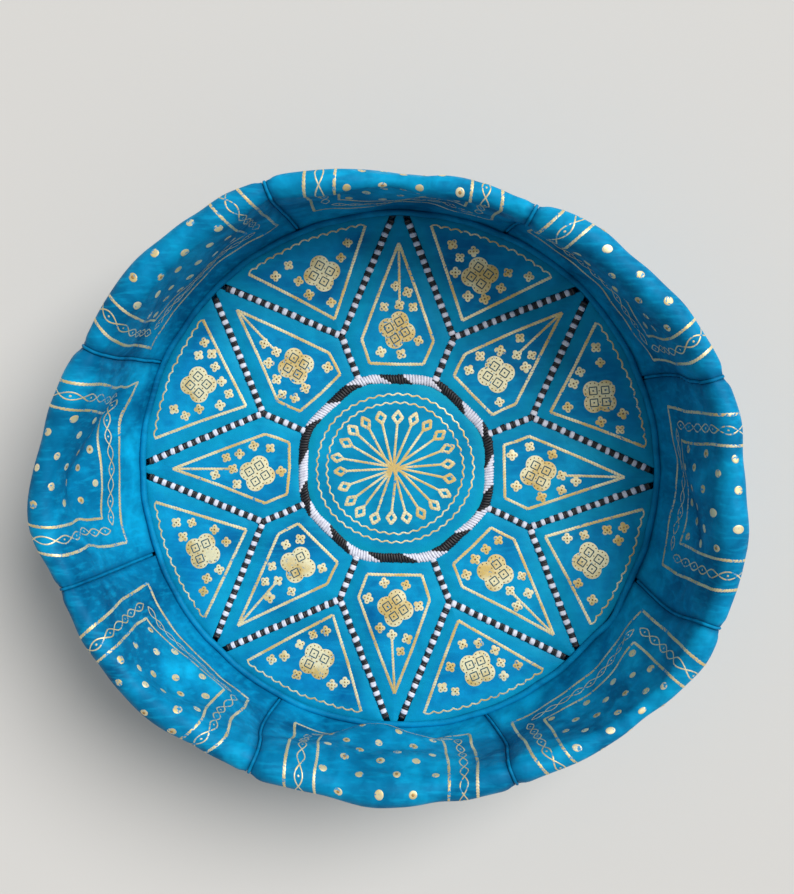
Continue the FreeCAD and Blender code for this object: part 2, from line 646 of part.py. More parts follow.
def side_welts():
    """A round welt down each side seam, between the panels' edges."""
    setback = size("welt_setback")
    welts = []
    for index in range(int(size("star_points"))):
        angle = HALF_STEP + index * STEP_ANGLE
        edges = wall_edges(wall_section(angle, size("leather") / 2))
        edges[0] = trimmed(edges[0], setback, at_start=True)
        edges[-1] = trimmed(edges[-1], setback, at_start=False)
        path = stood_up(Part.Wire(edges), angle, 0)
        start = path.Edges[0]
        tangent = start.tangentAt(start.FirstParameter)
        ring = Part.makeCircle(size("welt_radius"), start.valueAt(start.FirstParameter), tangent)
        welts.append(path.makePipeShell([Part.Wire(ring)], True, False))
    group = doc.addObject("Part::Feature", "SideWelts")
    group.Shape = Part.makeCompound(welts)
    keep(group, "side_welts")


def trimmed(edge, length, at_start):
    """An arc made shorter by a length at one end."""
    share = length / edge.Length
    first, last = edge.ParameterRange
    if at_start:
        return edge.Curve.toShape(first + share * (last - first), last)
    return edge.Curve.toShape(first, last - share * (last - first))


# The base: two half discs, joined by a zip along X.


def base_half(name, label, turn):
    """Half of the base, dished down to its piping at the edge, with half of the zip's opening."""
    seat = size("base_piping_radius") + size("seam_gap")
    lip = FreeCAD.Vector(size("base_ring_radius"), number(BASE_PIPING_LEVEL), 0)
    lip = lip + heading(size("base_seam_angle")) * seat
    flat, low, skin = size("base_flat_radius"), size("base_level"), size("leather")
    body = doc.addObject("PartDesign::Body", name)
    sketch = new_sketch(body, name + "Profile", "XZ_Plane")
    lower = [(0, low), (flat, low), (lip.x, lip.y)]
    upper = [(x, z + skin) for x, z in lower]
    under, slope, edge, upper_slope, top, middle = polygon(sketch, lower + upper[::-1])
    for side in (middle, edge):
        tie(sketch, "Vertical", side)
    for side in (under, top):
        tie(sketch, "Horizontal", side)
    tie(sketch, "PointOnObject", under, START, Y_AXIS)
    fix(sketch, "sizes.base_level", "DistanceY", *ORIGIN, under, START)
    fix(sketch, "sizes.leather", "DistanceY", middle, END, middle, START)
    fix(sketch, "sizes.base_flat_radius", "DistanceX", *ORIGIN, under, END)
    seat_formula = "(sizes.base_piping_radius + sizes.seam_gap)"
    lip_x = f"sizes.base_ring_radius + {seat_formula} * cos(sizes.base_seam_angle * 1 deg)"
    lip_y = f"{BASE_PIPING_LEVEL} + {seat_formula} * sin(sizes.base_seam_angle * 1 deg)"
    fix(sketch, lip_x, "DistanceX", *ORIGIN, slope, END)
    fix(sketch, lip_y, "DistanceY", *ORIGIN, slope, END)
    fix(sketch, "sizes.leather", "DistanceY", edge, START, edge, END)
    tie(sketch, "Parallel", slope, upper_slope)
    revolve(body, sketch)
    other_half = new_sketch(body, name + "Cut", "XY_Plane")
    rectangle(other_half, "-sizes.base_ring_radius", "-sizes.base_ring_radius",
              "2 * sizes.base_ring_radius", "sizes.base_ring_radius + sizes.seam_gap / 2")
    pocket_through(body, other_half)
    slot = new_sketch(body, name + "Slot", "XY_Plane")
    rectangle(slot, "-sizes.slot_length / 2", "-sizes.slot_width / 2",
              "sizes.slot_length", "sizes.slot_width")
    pocket_through(body, slot)
    keep(body, label, turned(turn))


def zip_tape(name, label, turn):
    """One cloth tape, sewn along the inside of the opening."""
    body = doc.addObject("PartDesign::Body", name)
    sketch = new_sketch(body, name + "Section", "YZ_Plane")
    rectangle(sketch, "sizes.tape_spacing / 2", TAPE_LEVEL, "sizes.tape_width", "sizes.tape_thickness")
    pad(body, sketch, "sizes.tape_length", midplane=True)
    keep(body, label, turned(turn))


def zip_coil(name, label, turn):
    """One side of the coil, rounded underneath, on the outside of its tape."""
    width = size("coil_width")
    inner, bottom, top = size("coil_spacing") / 2, number(COIL_LEVEL), number(TAPE_LEVEL)
    round_formula = "(sizes.coil_width / 2)"
    radius = number(round_formula)
    body = doc.addObject("PartDesign::Body", name)
    sketch = new_sketch(body, name + "Section", "YZ_Plane")
    outer, waist = inner + width, bottom + radius
    corners = [(outer, waist), (outer, top), (inner, top), (inner, waist)]
    right, flat, left = polygon(sketch, corners, closed=False)
    belly = arc(sketch, (inner + radius, bottom + radius), radius, HALF_TURN, FULL_TURN)
    tie(sketch, "Tangent", left, END, belly, START)
    tie(sketch, "Tangent", belly, END, right, START)
    tie(sketch, "Vertical", right)
    tie(sketch, "Vertical", left)
    tie(sketch, "Horizontal", flat)
    fix(sketch, "sizes.coil_spacing / 2", "DistanceX", *ORIGIN, left, START)
    fix(sketch, "sizes.coil_width", "DistanceX", left, START, right, END)
    fix(sketch, TAPE_LEVEL, "DistanceY", *ORIGIN, left, START)
    fix(sketch, f"sizes.coil_height - {round_formula}", "DistanceY", left, END, left, START)
    pad(body, sketch, "sizes.chain_length", midplane=True)
    keep(body, label, turned(turn))


def zip_stops():
    """A metal stop on each tape at both ends of the coil."""
    start = "sizes.chain_length / 2 + sizes.seam_gap"
    stops = []
    for index, turn in enumerate((0, HALF_TURN)):
        for side in (1, -1):
            body = doc.addObject("PartDesign::Body", f"ZipStop{index}{'AB'[side < 0]}")
            sketch = new_sketch(body, f"ZipStopOutline{index}{'AB'[side < 0]}", "XY_Plane", lift=COIL_LEVEL)
            rectangle(sketch, start, "sizes.coil_spacing / 2", "sizes.stop_length", "sizes.coil_width")
            block = pad(body, sketch, "sizes.coil_height")
            round_edges(body, block, "sizes.coil_spacing / 2", lies_at(number(COIL_LEVEL)))
            sideways = 0 if side > 0 else -number("sizes.coil_spacing + sizes.coil_width")
            spin = turned(turn)
            body.Placement = turned(turn, *spin.multVec(FreeCAD.Vector(0, sideways, 0)))
            stops.append(body)
    group = doc.addObject("Part::Compound", "ZipStops")
    group.Links = stops
    keep(group, "zip_stops")


def slider_outline(body, name, lift):
    """The slider's plan: wide at the nose, narrower at the tail."""
    half, nose, tail = size("slider_length") / 2, size("slider_nose") / 2, size("slider_tail") / 2
    sketch = new_sketch(body, name, "XY_Plane", lift=lift)
    near, front, far, back = polygon(sketch, [(-half, -tail), (half, -nose), (half, nose), (-half, tail)])
    tie(sketch, "Symmetric", front, START, front, END, X_AXIS)
    tie(sketch, "Symmetric", back, START, back, END, X_AXIS)
    fix(sketch, "sizes.slider_nose", "DistanceY", front, START, front, END)
    fix(sketch, "sizes.slider_tail", "DistanceY", back, END, back, START)
    fix(sketch, "sizes.slider_length / 2", "DistanceX", *ORIGIN, front, START)
    fix(sketch, "sizes.slider_length / 2", "DistanceX", back, START, *ORIGIN)
    return sketch


def zip_slider():
    """Two plates joined by a post, side flanges round the coil, and two lugs that hold the pull's pin."""
    body = doc.addObject("PartDesign::Body", "ZipSlider")
    flange_top = f"{TAPE_LEVEL} - sizes.slider_gap"
    outline = slider_outline(body, "SliderBlock", OUTER_PLATE_LEVEL)
    block = pad(body, outline, f"{flange_top} - {OUTER_PLATE_LEVEL}")
    round_edges(body, block, "sizes.slider_corner", is_upright)
    channel = new_sketch(body, "SliderChannel", "YZ_Plane")
    half_channel = f"({COIL_OUTSIDE} + sizes.slider_gap)"
    rectangle(channel, f"-{half_channel}", OUTER_PLATE_TOP, f"2 * {half_channel}",
              f"{INNER_PLATE_LEVEL} - {OUTER_PLATE_TOP}")
    pocket_through(body, channel)
    post = new_sketch(body, "SliderPost", "XY_Plane", lift=f"{OUTER_PLATE_TOP} - sizes.slider_plate / 2")
    half_post = "(sizes.coil_spacing / 2 - sizes.slider_gap)"
    rectangle(post, "-sizes.post_length / 2", f"-{half_post}", "sizes.post_length", f"2 * {half_post}")
    pad(body, post, f"{INNER_PLATE_LEVEL} - {OUTER_PLATE_TOP} + sizes.slider_plate")
    pad(body, slider_outline(body, "SliderInnerPlate", INNER_PLATE_LEVEL), "sizes.slider_plate")
    slider_lugs(body)
    keep(body, "zip_slider", turned(0, x=size("slider_start")))


def slider_lugs(body):
    """A round-ended lug on each side of the pull's eye, and the pin through both."""
    drop = number(PIN_LEVEL)
    top = number(OUTER_PLATE_LEVEL)
    radius = size("lug_radius")
    beside_eye = "(sizes.eye_width / 2 + sizes.slider_gap + sizes.lug_thickness / 2)"
    for sign, name in ((1, "Far"), (-1, "Near")):
        sketch = new_sketch(body, f"SliderLug{name}", "XZ_Plane", lift=f"{sign} * {beside_eye}")
        right, cap, left = polygon(
            sketch, [(radius, drop), (radius, top), (-radius, top), (-radius, drop)], closed=False)
        end = arc(sketch, (0, drop), radius, HALF_TURN, FULL_TURN)
        tie(sketch, "Tangent", left, END, end, START)
        tie(sketch, "Tangent", end, END, right, START)
        tie(sketch, "Vertical", right)
        tie(sketch, "Vertical", left)
        tie(sketch, "Horizontal", cap)
        tie(sketch, "PointOnObject", end, CENTRE, Y_AXIS)
        fix(sketch, "sizes.lug_radius", "Radius", end)
        fix(sketch, PIN_LEVEL, "DistanceY", *ORIGIN, right, START)
        fix(sketch, f"{OUTER_PLATE_LEVEL} + sizes.slider_plate / 2", "DistanceY", *ORIGIN, cap, START)
        pad(body, sketch, "sizes.lug_thickness", midplane=True)
    pin = new_sketch(body, "SliderPin", "XZ_Plane")
    ring = Part.Circle(FreeCAD.Vector(0, drop, 0), FreeCAD.Vector(0, 0, 1), size("pin_radius"))
    index = pin.addGeometry(ring, False)
    tie(pin, "PointOnObject", index, CENTRE, Y_AXIS)
    fix(pin, PIN_LEVEL, "DistanceY", *ORIGIN, index, CENTRE)
    fix(pin, "sizes.pin_radius", "Radius", index)
    pad(body, pin, "sizes.eye_width + 2 * sizes.slider_gap + sizes.lug_thickness", midplane=True)


def zip_pull():
    """An eye on the pin and a flat tab, lying back along the closed coil."""
    body = doc.addObject("PartDesign::Body", "ZipPull")
    eye = new_sketch(body, "PullEye", "XZ_Plane")
    circle_on_origin(eye, "sizes.eye_radius")
    pad(body, eye, "sizes.eye_width", midplane=True)
    neck, wide = size("pull_neck") / 2, size("pull_width") / 2
    narrow, shoulder, straight = size("pull_neck_length"), size("pull_shoulder"), size("pull_length") - wide
    tab = new_sketch(body, "PullTab", "XY_Plane")
    outline = [(-straight, -wide), (-shoulder, -wide), (-narrow, -neck), (0, -neck)]
    mirrored = [(x, -y) for x, y in reversed(outline)]
    low_side, low_flare, low_neck, root, neck_line, flare, side = polygon(
        tab, outline + mirrored, closed=False)
    end = arc(tab, (-straight, 0), wide, RIGHT_ANGLE, RIGHT_ANGLE + HALF_TURN)
    tie(tab, "Tangent", side, END, end, START)
    tie(tab, "Tangent", end, END, low_side, START)
    tie(tab, "Horizontal", side)
    tie(tab, "Horizontal", neck_line)
    tie(tab, "Symmetric", root, START, root, END, X_AXIS)
    tie(tab, "Symmetric", flare, START, low_flare, END, X_AXIS)
    tie(tab, "Symmetric", flare, END, low_flare, START, X_AXIS)
    tie(tab, "PointOnObject", root, START, Y_AXIS)
    tie(tab, "PointOnObject", end, CENTRE, X_AXIS)
    fix(tab, "sizes.pull_neck", "DistanceY", root, START, root, END)
    fix(tab, "sizes.pull_width / 2", "Radius", end)
    fix(tab, "sizes.pull_neck_length", "DistanceX", flare, START, *ORIGIN)
    fix(tab, "sizes.pull_shoulder", "DistanceX", flare, END, *ORIGIN)
    fix(tab, "sizes.pull_length - sizes.pull_width / 2", "DistanceX", end, CENTRE, *ORIGIN)
    pad(body, tab, "sizes.pull_thickness", midplane=True)
    bore = new_sketch(body, "PullBore", "XZ_Plane")
    circle_on_origin(bore, "sizes.pin_radius + sizes.pin_clearance")
    pocket_through(body, bore)
    hole = new_sketch(body, "PullHole", "XY_Plane")
    ring = Part.Circle(FreeCAD.Vector(-straight, 0, 0), FreeCAD.Vector(0, 0, 1), size("pull_hole"))
    index = hole.addGeometry(ring, False)
    tie(hole, "PointOnObject", index, CENTRE, X_AXIS)
    fix(hole, "sizes.pull_length - sizes.pull_width / 2", "DistanceX", index, CENTRE, *ORIGIN)
    fix(hole, "sizes.pull_hole", "Radius", index)
    drilled = pocket_through(body, hole)
    half_thick = size("pull_thickness") / 2

    def outer_edge(edge):
        box = edge.BoundBox
        flat = abs(box.ZMin - box.ZMax) < TINY and abs(abs(box.ZMin) - half_thick) < TINY
        return flat and box.XMin < -straight - TINY
    round_edges(body, drilled, "sizes.pull_round", outer_edge)
    keep(body, "zip_pull", turned(0, x=size("slider_start"), z=number(PIN_LEVEL)))


medallion()
ring_braid()
for position in range(int(size("star_points"))):
    petal(position)
    fan(position)
    side_panel(position)
petal_braids()
spoke_braids()
top_piping()
base_piping()
side_welts()
for where, facing in (("front", HALF_TURN), ("back", 0)):
    base_half(f"Base{where}", f"base_half_{where}", facing)
    zip_tape(f"ZipTape{where}", f"zip_tape_{where}", facing)
    zip_coil(f"ZipCoil{where}", f"zip_coil_{where}", facing)
zip_stops()
zip_slider()
zip_pull()
doc.recompute()

failed = [item.Name for item in doc.Objects if {"Invalid", "Error"} & set(item.State)]
if failed:
    raise RuntimeError("these objects failed: " + ", ".join(failed))
for piece in pieces:
    if piece.Shape.isNull() or not piece.Shape.isValid() or not piece.Shape.Solids:
        raise RuntimeError(piece.Label + " has no sound solid")

os.makedirs("parts", exist_ok=True)
for piece in pieces:
    piece.Shape.exportStep(f"parts/{piece.Label}.step")
    box = piece.Shape.BoundBox
    print(f"{piece.Label}: {len(piece.Shape.Solids)} solid(s), {piece.Shape.Volume / 1000:.2f} cm3,"
          f" z {box.ZMin:.2f} to {box.ZMax:.2f}")
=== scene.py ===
# %% [markdown]
# # An empty leather pouf cover, pushed in to a bowl
# The real object is a hand-sewn cover of turquoise leather that waits for its filling. Its round top, a
# star of laced leather pieces, is pushed in, so the side wall folds over and makes a bowl with two
# walls. The lesson builds its looks around a construction model that already holds the sizes and the
# moving zip. Each piece of leather, lacing and gilding is made as a mesh of its own, from formulas, and
# rides on the construction.

# %% Load the construction
import math

import bmesh
import bpy
import numpy as np
from mathutils import Matrix, Vector


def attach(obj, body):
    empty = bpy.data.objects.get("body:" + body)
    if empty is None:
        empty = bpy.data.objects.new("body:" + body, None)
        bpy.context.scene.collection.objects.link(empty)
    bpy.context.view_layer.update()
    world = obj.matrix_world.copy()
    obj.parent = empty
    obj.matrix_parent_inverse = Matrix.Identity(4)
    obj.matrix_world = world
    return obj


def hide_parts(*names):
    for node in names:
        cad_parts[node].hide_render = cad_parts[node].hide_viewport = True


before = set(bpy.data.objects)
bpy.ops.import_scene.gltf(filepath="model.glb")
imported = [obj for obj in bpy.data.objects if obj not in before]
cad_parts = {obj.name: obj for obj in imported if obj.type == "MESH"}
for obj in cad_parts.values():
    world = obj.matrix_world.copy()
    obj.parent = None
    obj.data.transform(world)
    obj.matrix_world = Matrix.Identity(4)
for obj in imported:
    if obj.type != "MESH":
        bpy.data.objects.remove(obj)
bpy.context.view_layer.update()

# %% [markdown]
# ## Camera
# The photograph looks down into the bowl from a little above its middle. A camera can be placed by eye,
# but its place was worked out from the star's eight tips and the rim, which the photograph shows at
# known sizes. The up direction is given too, because a camera that looks almost straight down has no
# natural one.

# %% Camera
CAMERA_PLACE = Vector((0.0519, 0.1016, 0.9425))
CAMERA_AIM = Vector((0.0002, 0.0219, 0.0305))
CAMERA_UP = Vector((-0.0163, 0.9961, -0.0862))
LONG_SIDE_PIXELS = 894
FOCAL_PIXELS = 1131

camera = bpy.data.objects.new("camera", bpy.data.cameras.new("camera"))
bpy.context.scene.collection.objects.link(camera)
bpy.context.scene.camera = camera
backward = (CAMERA_PLACE - CAMERA_AIM).normalized()
rightward = CAMERA_UP.cross(backward).normalized()
upward = backward.cross(rightward)
facing = Matrix((rightward, upward, backward)).transposed().to_4x4()
camera.matrix_world = Matrix.Translation(CAMERA_PLACE) @ facing
camera.data.angle = 2 * math.atan(LONG_SIDE_PIXELS / 2 / FOCAL_PIXELS)
print("camera angle over the long side:", round(math.degrees(camera.data.angle), 1))

# %% [markdown]
# ## Floor
# The cover stands on a plain pale floor. A curved backdrop could be used, but the camera looks down, so
# one large flat face is enough. The floor takes the cover's shadow and throws none of its own.

# %% Floor
FLOOR_HALF = 30.0

scene = bpy.context.scene
scene.view_settings.view_transform = "Standard"
floor_mesh = bpy.data.meshes.new("floor")
corners = [(-1, -1), (1, -1), (1, 1), (-1, 1)]
floor_mesh.from_pydata([(x * FLOOR_HALF, y * FLOOR_HALF, 0) for x, y in corners], [], [(0, 1, 2, 3)])
floor = bpy.data.objects.new("floor", floor_mesh)
scene.collection.objects.link(floor)
floor.visible_shadow = False
print("floor:", 2 * FLOOR_HALF, "m square")

# %% [markdown]
# ## Floor paint
# From above this is ordinary matt paint. The zip is on the underside of the cover, so the floor is
# clear when it is seen from below. The floor could be taken away for that, but a node that tells a
# face's back from its front does it without a second scene.

# %% Floor paint
FLOOR_COLOUR = (0.63, 0.61, 0.58, 1)
FLOOR_ROUGHNESS = 0.8

floor_paint = bpy.data.materials.new("floor_paint")
floor_paint.use_nodes = True
floor_nodes = floor_paint.node_tree.nodes
floor_links = floor_paint.node_tree.links
floor_surface = floor_nodes["Principled BSDF"]
floor_surface.inputs["Base Color"].default_value = FLOOR_COLOUR
floor_surface.inputs["Roughness"].default_value = FLOOR_ROUGHNESS
clear = floor_nodes.new("ShaderNodeBsdfTransparent")
seen_from_below = floor_nodes.new("ShaderNodeNewGeometry").outputs["Backfacing"]
either = floor_nodes.new("ShaderNodeMixShader")
floor_links.new(seen_from_below, either.inputs["Fac"])
floor_links.new(floor_surface.outputs["BSDF"], either.inputs[1])
floor_links.new(clear.outputs["BSDF"], either.inputs[2])
floor_links.new(either.outputs["Shader"], floor_nodes["Material Output"].inputs["Surface"])
floor_mesh.materials.append(floor_paint)
print("floor paint nodes:", len(floor_nodes))

# %% [markdown]
# ## Light
# One broad sun from the upper right of the picture gives the walls their bright and dark sides, as a
# large window does, and an even sky fills the shadows. Area lamps could do the same, but a sun lights
# the whole floor alike, so no part of it turns white. A weak lamp under the clear floor reaches the
# base.

# %% Light
SUN_TOWARDS = Vector((1.7, 1.4, 2.4))
SUN_BREADTH = math.radians(34)
SUN_STRENGTH = 3.25
SKY_COLOUR = (0.95, 0.98, 1.0, 1)
SKY_STRENGTH = 0.38
BASE_LAMP_PLACE = Vector((0.3, -0.3, -1.2))
BASE_LAMP_SIZE = 1.6
BASE_LAMP_WATTS = 22


def add_lamp(name, kind, place, strength):
    """A lamp at a place, turned towards the middle of the floor."""
    lamp = bpy.data.objects.new(name, bpy.data.lights.new(name, kind))
    lamp.data.energy = strength
    lamp.location = place
    lamp.rotation_euler = (-place).to_track_quat("-Z", "Y").to_euler()
    scene.collection.objects.link(lamp)
    return lamp


add_lamp("broad_sun", "SUN", SUN_TOWARDS, SUN_STRENGTH).data.angle = SUN_BREADTH
add_lamp("base_lamp", "AREA", BASE_LAMP_PLACE, BASE_LAMP_WATTS).data.size = BASE_LAMP_SIZE
scene.world = bpy.data.worlds.new("sky")
scene.world.use_nodes = True
sky = scene.world.node_tree.nodes["Background"]
sky.inputs["Color"].default_value = SKY_COLOUR
sky.inputs["Strength"].default_value = SKY_STRENGTH
print("sun from", [round(value, 2) for value in SUN_TOWARDS.normalized()])

# %% [markdown]
# ## From formulas to meshes
# Every soft piece below is a grid of points worked out with a formula, in millimetres. Sculpting by
# hand would give the same looks, but a formula can be changed and repeated. A grid's faces follow from
# its number of rows and columns alone, and a grid can close on itself, as a ring or a tube does. The
# chance that makes hand work uneven starts from a fixed seed, so that every run gives the same cover.

# %% Grids
MM = 0.001
FULL_TURN = 2 * math.pi
rng = np.random.default_rng(8)


def grid_faces(rows, columns, wrap_rows=False, wrap_columns=False):
    """The four-cornered faces of a grid of points that are numbered row by row."""
    row, column = np.meshgrid(np.arange(rows if wrap_rows else rows - 1),
                              np.arange(columns if wrap_columns else columns - 1), indexing="ij")
    next_row, next_column = (row + 1) % rows, (column + 1) % columns
    corners = (row * columns + column, row * columns + next_column,
               next_row * columns + next_column, next_row * columns + column)
    return np.stack(corners, axis=-1).reshape(-1, 4)


print("an open grid of 3 by 4 points has", len(grid_faces(3, 4)), "faces")

# %% [markdown]
# ## A pile of shapes
# A lacing is hundreds of stitches, and a gilded panel hundreds of strokes. Each could be an object, but
# they would be hard to handle, so a pile gathers closed shapes until they become one piece. It also
# keeps each face's material, and for each point a mark that the finishes read later: how near an edge
# is, or where a rope turns.

# %% Pile
class Pile:
    """Closed shapes that become one piece, each with the number of its material."""

    def __init__(self):
        self.points = []
        self.faces = []
        self.finishes = []
        self.marks = []
        self.count = 0

    def add(self, points, faces, caps=(), finish=0, mark=0.0):
        points = np.reshape(points, (-1, 3))
        new = (faces + self.count).tolist() + [(np.asarray(cap) + self.count).tolist() for cap in caps]
        self.points.append(points)
        self.faces += new
        self.finishes += [finish] * len(new)
        self.marks.append(np.broadcast_to(np.ravel(mark), len(points)))
        self.count += len(points)


print("an empty pile holds", Pile().count, "points")

# %% [markdown]
# ## From a pile to a piece
# This step makes the Blender object. Faces turn outward, soft curves are shaded smooth and real corners
# stay sharp. The piece then rides on a body of the construction, so that it moves when the body does,
# and stands in for the plain nodes that it replaces.

# %% Piece
CREASE_DEGREES = 50


def add_piece(name, pile, materials, replaced=()):
    """Makes a pile into an object, turns its faces outward and lets it ride on the cover."""
    mesh = bpy.data.meshes.new(name)
    mesh.from_pydata((np.concatenate(pile.points) * MM).tolist(), [], pile.faces)
    work = bmesh.new()
    work.from_mesh(mesh)
    bmesh.ops.recalc_face_normals(work, faces=work.faces[:])
    work.to_mesh(mesh)
    work.free()
    for material in materials:
        mesh.materials.append(material)
    mesh.polygons.foreach_set("material_index", pile.finishes)
    mesh.shade_smooth()
    mesh.set_sharp_from_angle(angle=math.radians(CREASE_DEGREES))
    layer = mesh.attributes.new("mark", "FLOAT", "POINT")
    layer.data.foreach_set("value", np.concatenate(pile.marks).astype(np.float32))
    piece = bpy.data.objects.new(name, mesh)
    scene.collection.objects.link(piece)
    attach(piece, "cover")
    if replaced:
        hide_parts(*replaced)


print("corners sharper than", CREASE_DEGREES, "degrees stay sharp")

# %% [markdown]
# ## Nodes for the finishes
# A material in Blender is a net of nodes. The same few are wanted again and again, so each gets a short
# helper. The first two start a material and give a cloudy noise, which is the base of every uneven
# finish here. The noise could come from a picture, but a picture has edges and a size, and a noise has
# neither.

# %% Start and noise
def start_material(name):
    """A new node material: itself, its node tree, its surface and the place coordinates."""
    material = bpy.data.materials.new(name)
    material.use_nodes = True
    tree = material.node_tree
    place = tree.nodes.new("ShaderNodeTexCoord").outputs["Object"]
    return material, tree, tree.nodes["Principled BSDF"], place


def noise(tree, place, scale, detail=4.0, distortion=0.0, stretch=None):
    """The value of a noise, in waves per metre."""
    node = tree.nodes.new("ShaderNodeTexNoise")
    node.inputs["Scale"].default_value = scale
    node.inputs["Detail"].default_value = detail
    node.inputs["Distortion"].default_value = distortion
    if stretch:
        mapping = tree.nodes.new("ShaderNodeMapping")
        mapping.inputs["Scale"].default_value = stretch
        tree.links.new(place, mapping.inputs["Vector"])
        place = mapping.outputs["Vector"]
    tree.links.new(place, node.inputs["Vector"])
    return node.outputs["Fac"]


print("noises are set in waves per metre")

# %% [markdown]
# ## Nodes for colours and numbers
# A ramp turns a noise into colours, a span brings it to another range, a blend mixes two colours and a
# sum works on numbers. A value that is the same everywhere is typed into its socket; only what changes
# over the surface is linked.

# %% Colours and numbers
def ramp(tree, value, *stops):
    """Colours along a value: each stop is a place from 0 to 1 and a colour."""
    node = tree.nodes.new("ShaderNodeValToRGB")
    elements = node.color_ramp.elements
    while len(elements) < len(stops):
        elements.new(0.5)
    for element, (position, colour) in zip(elements, stops):
        element.position = position
        element.color = colour
    tree.links.new(value, node.inputs["Fac"])
    return node.outputs["Color"]


def span(tree, value, low, high, from_low=0.3, from_high=0.7):
    """A value brought to a range."""
    node = tree.nodes.new("ShaderNodeMapRange")
    node.inputs["From Min"].default_value = from_low
    node.inputs["From Max"].default_value = from_high
    node.inputs["To Min"].default_value = low
    node.inputs["To Max"].default_value = high
    tree.links.new(value, node.inputs["Value"])
    return node.outputs["Result"]


def feed(tree, value, socket):
    """Links an output to a socket, or types a plain value into it."""
    if isinstance(value, bpy.types.NodeSocket):
        tree.links.new(value, socket)
    else:
        socket.default_value = value


def blend(tree, factor, first, second):
    """Two colours mixed; a factor or colour is an output or a plain value."""
    node = tree.nodes.new("ShaderNodeMix")
    node.data_type = "RGBA"
    colours = [socket for socket in node.inputs if socket.type == "RGBA"]
    for value, socket in zip((factor, first, second), (node.inputs["Factor"], *colours)):
        feed(tree, value, socket)
    return next(output for output in node.outputs if output.type == "RGBA")


def reckon(tree, operation, *values):
    """A sum on outputs and plain numbers."""
    node = tree.nodes.new("ShaderNodeMath")
    node.operation = operation
    for value, socket in zip(values, node.inputs):
        feed(tree, value, socket)
    return node.outputs[0]


print("a span reads 0.3 to 0.7 unless told otherwise, the range of most noises")

# %% [markdown]
# ## Nodes for relief
# Grain is too fine to model, so it is a bump: a height that tilts the light and leaves the shape alone.
# Leather grain is small rounded cells. The last helper reads the mark that the meshes carry.

# %% Relief
def bump(tree, height, strength, depth, before=None):
    """A bump of a depth in metres, on top of another."""
    node = tree.nodes.new("ShaderNodeBump")
    node.inputs["Strength"].default_value = strength
    node.inputs["Distance"].default_value = depth
    tree.links.new(height, node.inputs["Height"])
    if before:
        tree.links.new(before, node.inputs["Normal"])
    return node.outputs["Normal"]


def cells(tree, place, scale):
    """The distance from the edges of small rounded cells, as in leather grain."""
    node = tree.nodes.new("ShaderNodeTexVoronoi")
    node.feature = "DISTANCE_TO_EDGE"
    node.inputs["Scale"].default_value = scale
    tree.links.new(place, node.inputs["Vector"])
    return node.outputs["Distance"]


def mesh_mark(tree):
    """The mark that each point of a piece carries."""
    node = tree.nodes.new("ShaderNodeAttribute")
    node.attribute_name = "mark"
    return node.outputs["Fac"]


print("bump depths are in metres")

# %% [markdown]
# ## Dyed leather
# The leather is goat hide, dyed by hand: the turquoise is cloudy, a little greener along the cut edges of
# the star, and its grain is fine and soft. A photograph of hide could be mapped on it, but nodes need no
# picture: three noises cloud and streak the dye, cells and finer noises make the grain and the creases,
# and a mark on the mesh says where an edge is near. On the star the mark gives the greener dye; on the
# walls and the base it gives painted shade, darker beside every seam and hem.

# %% Dyed leather
STAR_DEEP = (0.001, 0.125, 0.320, 1)
STAR_BLUE = (0.003, 0.272, 0.555, 1)
STAR_LIGHT = (0.006, 0.405, 0.700, 1)
STAR_EDGE = (0.003, 0.335, 0.490, 1)
WALL_DEEP = (0.000, 0.095, 0.225, 1)
WALL_BLUE = (0.002, 0.275, 0.530, 1)
WALL_LIGHT = (0.004, 0.450, 0.770, 1)
# Painted shade: the wall leather turns to this dark blue beside its seams and hems.
WALL_PAINTED_SHADE = (0.000, 0.085, 0.210, 1)
PIPING_BLUE = (0.002, 0.280, 0.530, 1)
WELT_BLUE = (0.002, 0.250, 0.490, 1)


def dyed_leather(name, deep, middle, light, edge, grain=0.22, rough=0.50, dents=0.0):
    """Cloudy hand-dyed hide, fine grain; the mark turns it to the edge colour, painted shade on the walls.
    """
    material, tree, surface, place = start_material(name)
    clouds = noise(tree, place, 13, detail=6, distortion=1.0)
    colour = ramp(tree, clouds, (0.32, deep), (0.50, middle), (0.70, light))
    fine = noise(tree, place, 85, detail=6, distortion=0.4)
    colour = blend(tree, span(tree, fine, 0.0, 0.55), colour, deep)
    brushed = noise(tree, place, 60, detail=4, stretch=(1.0, 5.0, 2.0))
    colour = blend(tree, span(tree, brushed, 0.0, 0.4, 0.5, 0.75), colour, light)
    colour = blend(tree, mesh_mark(tree), colour, edge)
    tree.links.new(colour, surface.inputs["Base Color"])
    tree.links.new(span(tree, fine, rough - 0.06, rough + 0.08), surface.inputs["Roughness"])
    surface.inputs["Specular IOR Level"].default_value = 0.06
    slack = bump(tree, noise(tree, place, 38, detail=3, distortion=0.5), dents, 0.004)
    creases = bump(tree, noise(tree, place, 160, detail=3, distortion=0.6), 0.3, 0.0009, slack)
    pebbles = bump(tree, cells(tree, place, 1000), grain, 0.0005, creases)
    tree.links.new(bump(tree, noise(tree, place, 2600, detail=2), 0.15, 0.0002, pebbles),
                   surface.inputs["Normal"])
    return material


star_leather = dyed_leather("star_leather", STAR_DEEP, STAR_BLUE, STAR_LIGHT, STAR_EDGE, dents=0.12)
wall_leather = dyed_leather("wall_leather", WALL_DEEP, WALL_BLUE, WALL_LIGHT, WALL_PAINTED_SHADE, dents=0.3)
piping_leather = dyed_leather("piping_leather", WALL_DEEP, PIPING_BLUE, WALL_BLUE, PIPING_BLUE, grain=0.12)
welt_leather = dyed_leather("welt_leather", WALL_DEEP, WELT_BLUE, PIPING_BLUE, WELT_BLUE, grain=0.12)
print("leather finishes:", star_leather.name, wall_leather.name, piping_leather.name, welt_leather.name)

